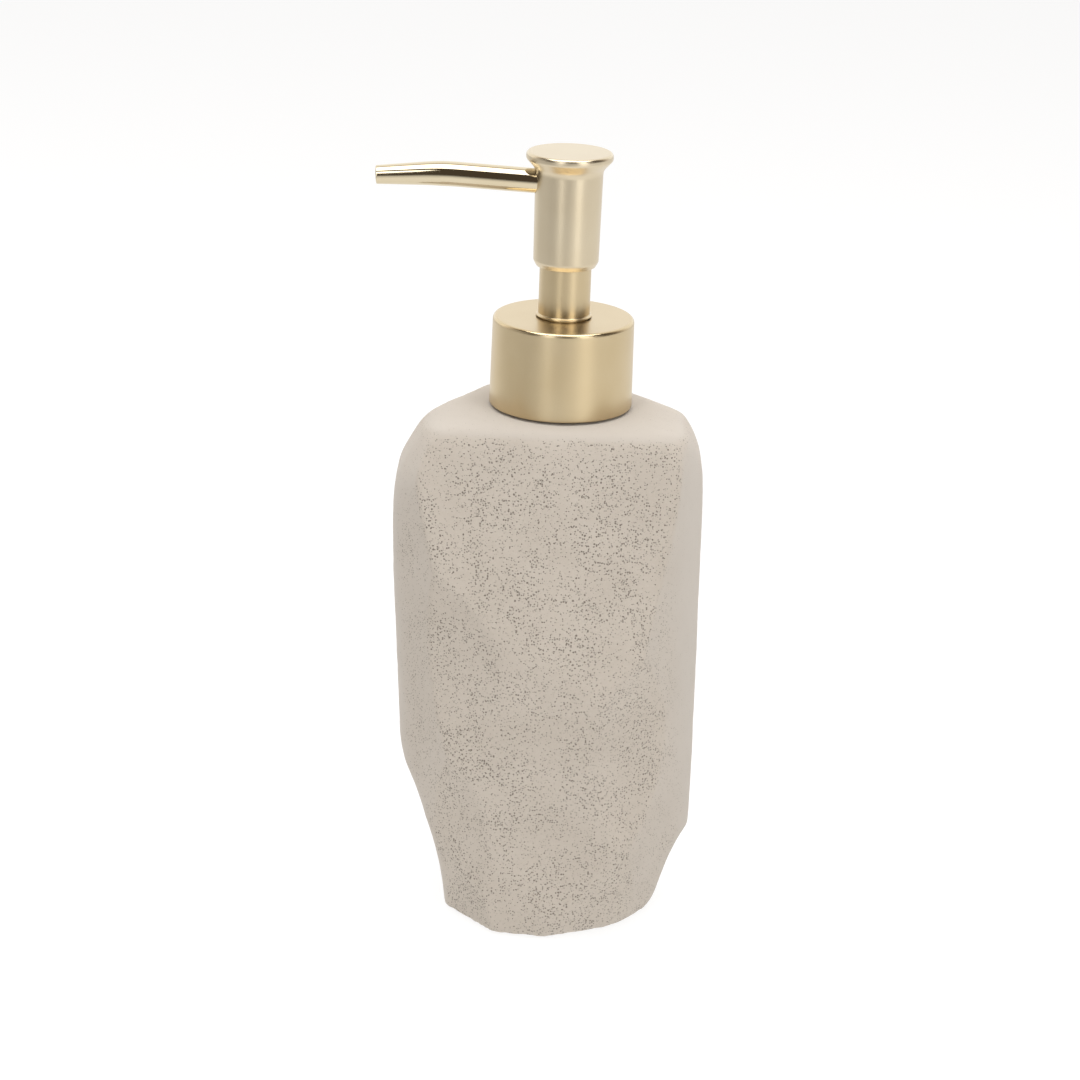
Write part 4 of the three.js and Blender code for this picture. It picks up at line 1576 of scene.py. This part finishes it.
@dataclass
class Head:
    """The push head, its spout and the stem that it drives."""

    bore: float = 6.8 * MM
    low_radius: float = 7.95 * MM
    high_radius: float = 8.2 * MM
    top_thickness: float = 1.2 * MM
    foot_softness: float = 1.3 * MM
    flare_height: float = 4.2 * MM
    disc_thickness: float = 1.7 * MM
    rim_softness: float = 0.85 * MM
    stem_radius: float = 2.8 * MM
    stem_bore: float = 1.4 * MM
    shoulder: float = 0.7 * MM
    spout_root: float = 3.0 * MM
    spout_tip: float = 2.25 * MM
    spout_bore: float = 1.7 * MM
    spout_rings: int = 70
    hole_clearance: float = 0.06 * MM
    liner_wall: float = 0.3 * MM
    liner_inset: float = 0.6 * MM
    gap: float = 0.3 * MM
    line: SpoutLine = field(default_factory=SpoutLine)

    def build(self) -> list[bpy.types.Object]:
        """Builds the head's pieces and dresses its core."""
        return [
            self.shell(), self.spout(), self.liner(), self.stem(), self.piston(),
            steel_ball("outlet_valve_ball", "outlet_ball", Body.OUTLET_VALVE),
            dress("actuator_core", WhitePlastic()),
        ]

    def shell(self) -> bpy.types.Object:
        """Builds the gold head: a soft foot, a straight side and a flare to a round-edged disc."""
        size = Extent.of("head_shell")
        inside = size.top - self.top_thickness
        disc = size.top - self.disc_thickness
        outline = Outline((
            Corner(0, inside),
            Corner(self.bore, inside, 0.4 * MM),
            Corner(self.bore, size.bottom, 0.15 * MM),
            Corner(self.bore + 0.45 * MM, size.bottom, 0.15 * MM),
            Corner(self.low_radius, size.bottom + 1.3 * MM, self.foot_softness),
            Corner(self.high_radius, size.top - self.flare_height, 2.6 * MM),
            Corner(size.radius, disc, self.rim_softness),
            Corner(size.radius, size.top, self.rim_softness),
            Corner(0, size.top),
        ))
        hole = self.bar("spout_hole", self.spout_root + self.hole_clearance, 10 * MM)
        shell = cut(revolve("gold_head", outline), hole)
        # the head's gold is a paler copy of the satin gold: painted light
        return fit(shell, Body.HEAD, SatinGoldPaintedBright(), "head_shell")

    def bar(self, name: str, radius: float, length: float) -> bpy.types.Object:
        """Builds a solid round bar along the spout's line, from its start.

        Args:
            name: the piece's name.
            radius: its radius.
            length: how far along the line it ends.

        Returns:
            The piece.
        """
        outline = Outline((Corner(0, 0), Corner(radius, 0), Corner(radius, length), Corner(0, length)))
        return moved(revolve(name, outline, INNER_FACETS), self.line.bent)

    def tapered(self, way: float) -> float:
        """The spout's radius at a distance along its line: straight to the bend, thinner after."""
        to_bend = self.line.start - self.line.bend
        past = max(0.0, (way - to_bend) / (self.line.length() - to_bend))
        return self.spout_root + (self.spout_tip - self.spout_root) * past

    def spout(self) -> bpy.types.Object:
        """Builds the polished spout, open at its tip, with a rounded lip."""
        length = self.line.length()
        ways = np.linspace(0.5 * MM, length - 0.8 * MM, self.spout_rings)
        lip = 0.25 * MM
        outer = [Corner(self.tapered(way), float(way)) for way in ways]
        outline = Outline((
            Corner(self.spout_bore, 0.0, 0.1 * MM),
            Corner(self.spout_root, 0.0, 0.2 * MM),
            *outer,
            Corner(self.spout_tip, length, lip),
            Corner(self.spout_bore, length, lip),
            *[Corner(self.spout_bore, float(way)) for way in ways[::-2]],
        ))
        piece = moved(revolve("gold_spout", outline), self.line.bent)
        return fit(piece, Body.HEAD, PolishedGold(), "spout_tube")

    def liner(self) -> bpy.types.Object:
        """Builds the plastic liner inside the spout."""
        length = self.line.length() - self.liner_inset
        outer = self.spout_bore - self.gap
        inner = outer - self.liner_wall
        ways = [float(way) for way in np.linspace(0.5 * MM, length - 0.4 * MM, self.spout_rings // 2)]
        outline = Outline((
            Corner(inner, 0.0),
            Corner(outer, 0.0),
            *[Corner(outer, way) for way in ways],
            Corner(outer, length, 0.08 * MM),
            Corner(inner, length, 0.08 * MM),
            *[Corner(inner, way) for way in ways[::-1]],
        ))
        piece = moved(revolve("spout_liner_tube", outline, 36), self.line.bent)
        return fit(piece, Body.HEAD, NaturalPlastic(), "spout_liner")

    def stem(self) -> bpy.types.Object:
        """Builds the hollow stem, with the shoulders that drive the piston and its valve seat."""
        size = Extent.of("piston_stem")
        piston = Extent.of("piston_seal")
        wide = self.stem_radius + self.shoulder
        seat = size.top - 0.8 * MM
        outline = Outline((
            Corner(self.stem_bore, size.bottom, 0.2 * MM),
            Corner(wide, size.bottom, 0.3 * MM),
            Corner(wide, piston.bottom - self.gap + 0.6 * MM, 0.1 * MM),
            Corner(self.stem_radius, piston.bottom - self.gap + 0.6 * MM, 0.1 * MM),
            Corner(self.stem_radius, piston.top + self.gap, 0.1 * MM),
            Corner(wide, piston.top + self.gap, 0.2 * MM),
            Corner(wide, piston.top + self.gap + 0.8 * MM, 0.2 * MM),
            Corner(self.stem_radius, piston.top + self.gap + 1.1 * MM, 0.2 * MM),
            Corner(self.stem_radius, size.top, 0.25 * MM),
            Corner(self.stem_bore + 0.5 * MM, size.top, 0.05 * MM),
            Corner(self.stem_bore - 0.5 * MM, seat, 0.1 * MM),
            Corner(self.stem_bore - 0.5 * MM, seat - 1 * MM, 0.1 * MM),
            Corner(self.stem_bore, seat - 1.5 * MM, 0.1 * MM),
        ))
        stem = revolve("hollow_stem", outline, INNER_FACETS)
        return fit(stem, Body.HEAD, WhitePlastic(), "piston_stem")

    def piston(self) -> bpy.types.Object:
        """Builds the piston: a waisted sleeve with a thin lip at each end."""
        size = Extent.of("piston_seal")
        bore = self.stem_radius + self.gap
        waist = size.radius - 0.9 * MM
        lip = 0.6 * MM
        outline = Outline((
            Corner(bore, size.bottom + lip, 0.1 * MM),
            Corner(size.radius - 1.2 * MM, size.bottom + lip, 0.1 * MM),
            Corner(size.radius, size.bottom, 0.15 * MM),
            Corner(size.radius, size.bottom + 2 * lip, 0.2 * MM),
            Corner(waist, size.bottom + 4 * lip, 0.5 * MM),
            Corner(waist, size.top - 3 * lip, 0.5 * MM),
            Corner(size.radius, size.top - lip, 0.2 * MM),
            Corner(size.radius, size.top, 0.15 * MM),
            Corner(bore, size.top, 0.1 * MM),
        ))
        sleeve = revolve("piston_sleeve", outline, INNER_FACETS)
        return fit(sleeve, Body.PISTON, Silicone(), "piston_seal")


# ---------------------------------------------------------------- studio


@dataclass(frozen=True)
class Softbox:
    """A soft light that the camera can't see, aimed at a point on the dispenser's axis."""

    name: str
    azimuth: float
    elevation: float
    distance: float
    width: float
    height: float
    radiance: float
    tint: Colour = WHITE
    aim_height: float = 0.12

    def build(self) -> bpy.types.Object:
        """Hangs the light; azimuth 0 is the front and 90 is to the right.

        Returns:
            The light's object.
        """
        a = math.radians(self.azimuth)
        e = math.radians(self.elevation)
        away = Vector((math.sin(a) * math.cos(e), -math.cos(a) * math.cos(e), math.sin(e)))
        light = bpy.data.lights.new(self.name, "AREA")
        light.shape = "RECTANGLE"
        light.size = self.width
        light.size_y = self.height
        light.energy = self.radiance * math.pi * self.width * self.height
        light.color = self.tint
        lamp = bpy.data.objects.new(self.name, light)
        bpy.context.scene.collection.objects.link(lamp)
        lamp.location = Vector((0, 0, self.aim_height)) + away * self.distance
        lamp.rotation_euler = (-away).to_track_quat("-Z", "Y").to_euler()
        lamp.visible_camera = False
        return lamp


@dataclass
class Studio:
    """The camera, the pale floor and the soft light."""

    camera_place: tuple[float, float, float] = (-3.74 * MM, -654.18 * MM, 333.24 * MM)
    camera_pitch: float = math.radians(19.841)
    camera_roll: float = math.radians(2.147)
    lens: float = 92.15
    floor_radius: float = 6.0
    floor_glow: float = 0.76
    floor_brightness: float = 0.82
    floor_falloff: float = 0.45
    floor_colour: Colour = (0.26, 0.26, 0.26)
    room_front: float = 0.08
    room_back: float = 1.2
    room_warmth: Colour = (1.0, 0.80, 0.62)
    room_edge: float = 0.7
    lights: tuple[Softbox, ...] = (
        Softbox("ceiling", 0, 82, 1.05, 1.3, 0.85, 3.1),
        Softbox("strip_left", -23, 20, 0.95, 0.24, 0.9, 2.6),
        Softbox("strip_right", 37, 20, 0.95, 0.36, 0.9, 2.4),
        Softbox("panel_left", -95, 18, 1.1, 1.2, 0.9, 0.4),
    )

    def camera(self) -> bpy.types.Object:
        """Sets the scene's camera, pitched down and rolled a little about its own line of sight."""
        pitch, roll = self.camera_pitch, self.camera_roll
        right = Vector((1, 0, 0))
        up = Vector((0, math.sin(pitch), math.cos(pitch)))
        back = right.cross(up)
        tilted = right * math.cos(roll) + up * math.sin(roll)
        upright = up * math.cos(roll) - right * math.sin(roll)
        turn = Matrix((tilted, upright, back)).transposed()
        camera = bpy.data.objects.new("camera", bpy.data.cameras.new("camera"))
        camera.data.lens = self.lens
        camera.matrix_world = Matrix.Translation(self.camera_place) @ turn.to_4x4()
        bpy.context.scene.collection.objects.link(camera)
        bpy.context.scene.camera = camera
        return camera

    def floor(self) -> bpy.types.Object:
        """Lays the pale floor, whose faint glow keeps shadows light."""
        shape = bmesh.new()
        bmesh.ops.create_circle(shape, cap_ends=True, segments=96, radius=self.floor_radius)
        floor = piece_of("floor", shape)
        tree = ShaderTree("PaleFloor")
        place = tree.place()
        cloud = tree.noise(place, 0.4, 2.0, 1.0)
        to_left = place.dot((-0.85, -0.53, 0.0)).smooth(0.15, 0.42) * self.floor_falloff
        to_front = place.dot((0.0, -1.0, 0.0)).smooth(0.7, 1.2) * 0.8
        seen = tree.node("ShaderNodeLightPath", None, None, "Is Camera Ray")
        reflected = self.floor_glow * (1.0 - to_left.at_least(to_front))
        glow = reflected + seen * (self.floor_brightness - reflected)
        darker = tuple(channel * 0.97 for channel in self.floor_colour)
        tree.principled(
            Base_Color=tree.mixed(cloud, darker, self.floor_colour),
            Roughness=0.9,
            Specular_IOR_Level=0.0,
            Emission_Color=tree.mixed(glow, BLACK, WHITE),
            Emission_Strength=1.0,
        )
        floor.data.materials.append(tree.material)
        return floor

    def room(self) -> None:
        """Lights the room: bright behind the dispenser and dim in front of it."""
        world = bpy.data.worlds.new("room")
        world.use_nodes = True
        bpy.context.scene.world = world
        tree = NodeTree(world.node_tree)
        tree.tree.nodes.clear()
        direction = tree.node("ShaderNodeTexCoord", None, None, "Generated")
        behind = tree.parts(direction)[1].smooth(0.0, self.room_edge)
        seen = tree.node("ShaderNodeLightPath", None, None, "Is Camera Ray")
        strength = self.room_front + behind * (self.room_back - self.room_front)
        strength = strength + seen * (1.0 - strength)
        colours = {0: behind.at_least(seen), 6: (*self.room_warmth, 1.0), 7: (*WHITE, 1.0)}
        colour = tree.node("ShaderNodeMix", {"data_type": "RGBA"}, colours, 2)
        backdrop = tree.node("ShaderNodeBackground", None, {"Color": colour, "Strength": strength})
        tree.node("ShaderNodeOutputWorld", None, {"Surface": backdrop})

    def build(self) -> None:
        """Sets the camera, the floor, the room and the lights."""
        self.camera()
        self.floor()
        self.room()
        for light in self.lights:
            light.build()
        bpy.context.scene.view_settings.view_transform = "Standard"


def main() -> None:
    """Builds the studio and every sub-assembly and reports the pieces."""
    logging.basicConfig(level=logging.INFO, format="%(name)s: %(message)s")
    Studio().build()
    for assembly in (Bottle(), Stopper(), Collar(), PumpCore(), Head()):
        for piece in assembly.build():
            triangles = sum(len(face.vertices) - 2 for face in piece.data.polygons)
            LOG.info("%s: %s, %d triangles", type(assembly).__name__, piece.name, triangles)


if __name__ == "__main__":
    main()
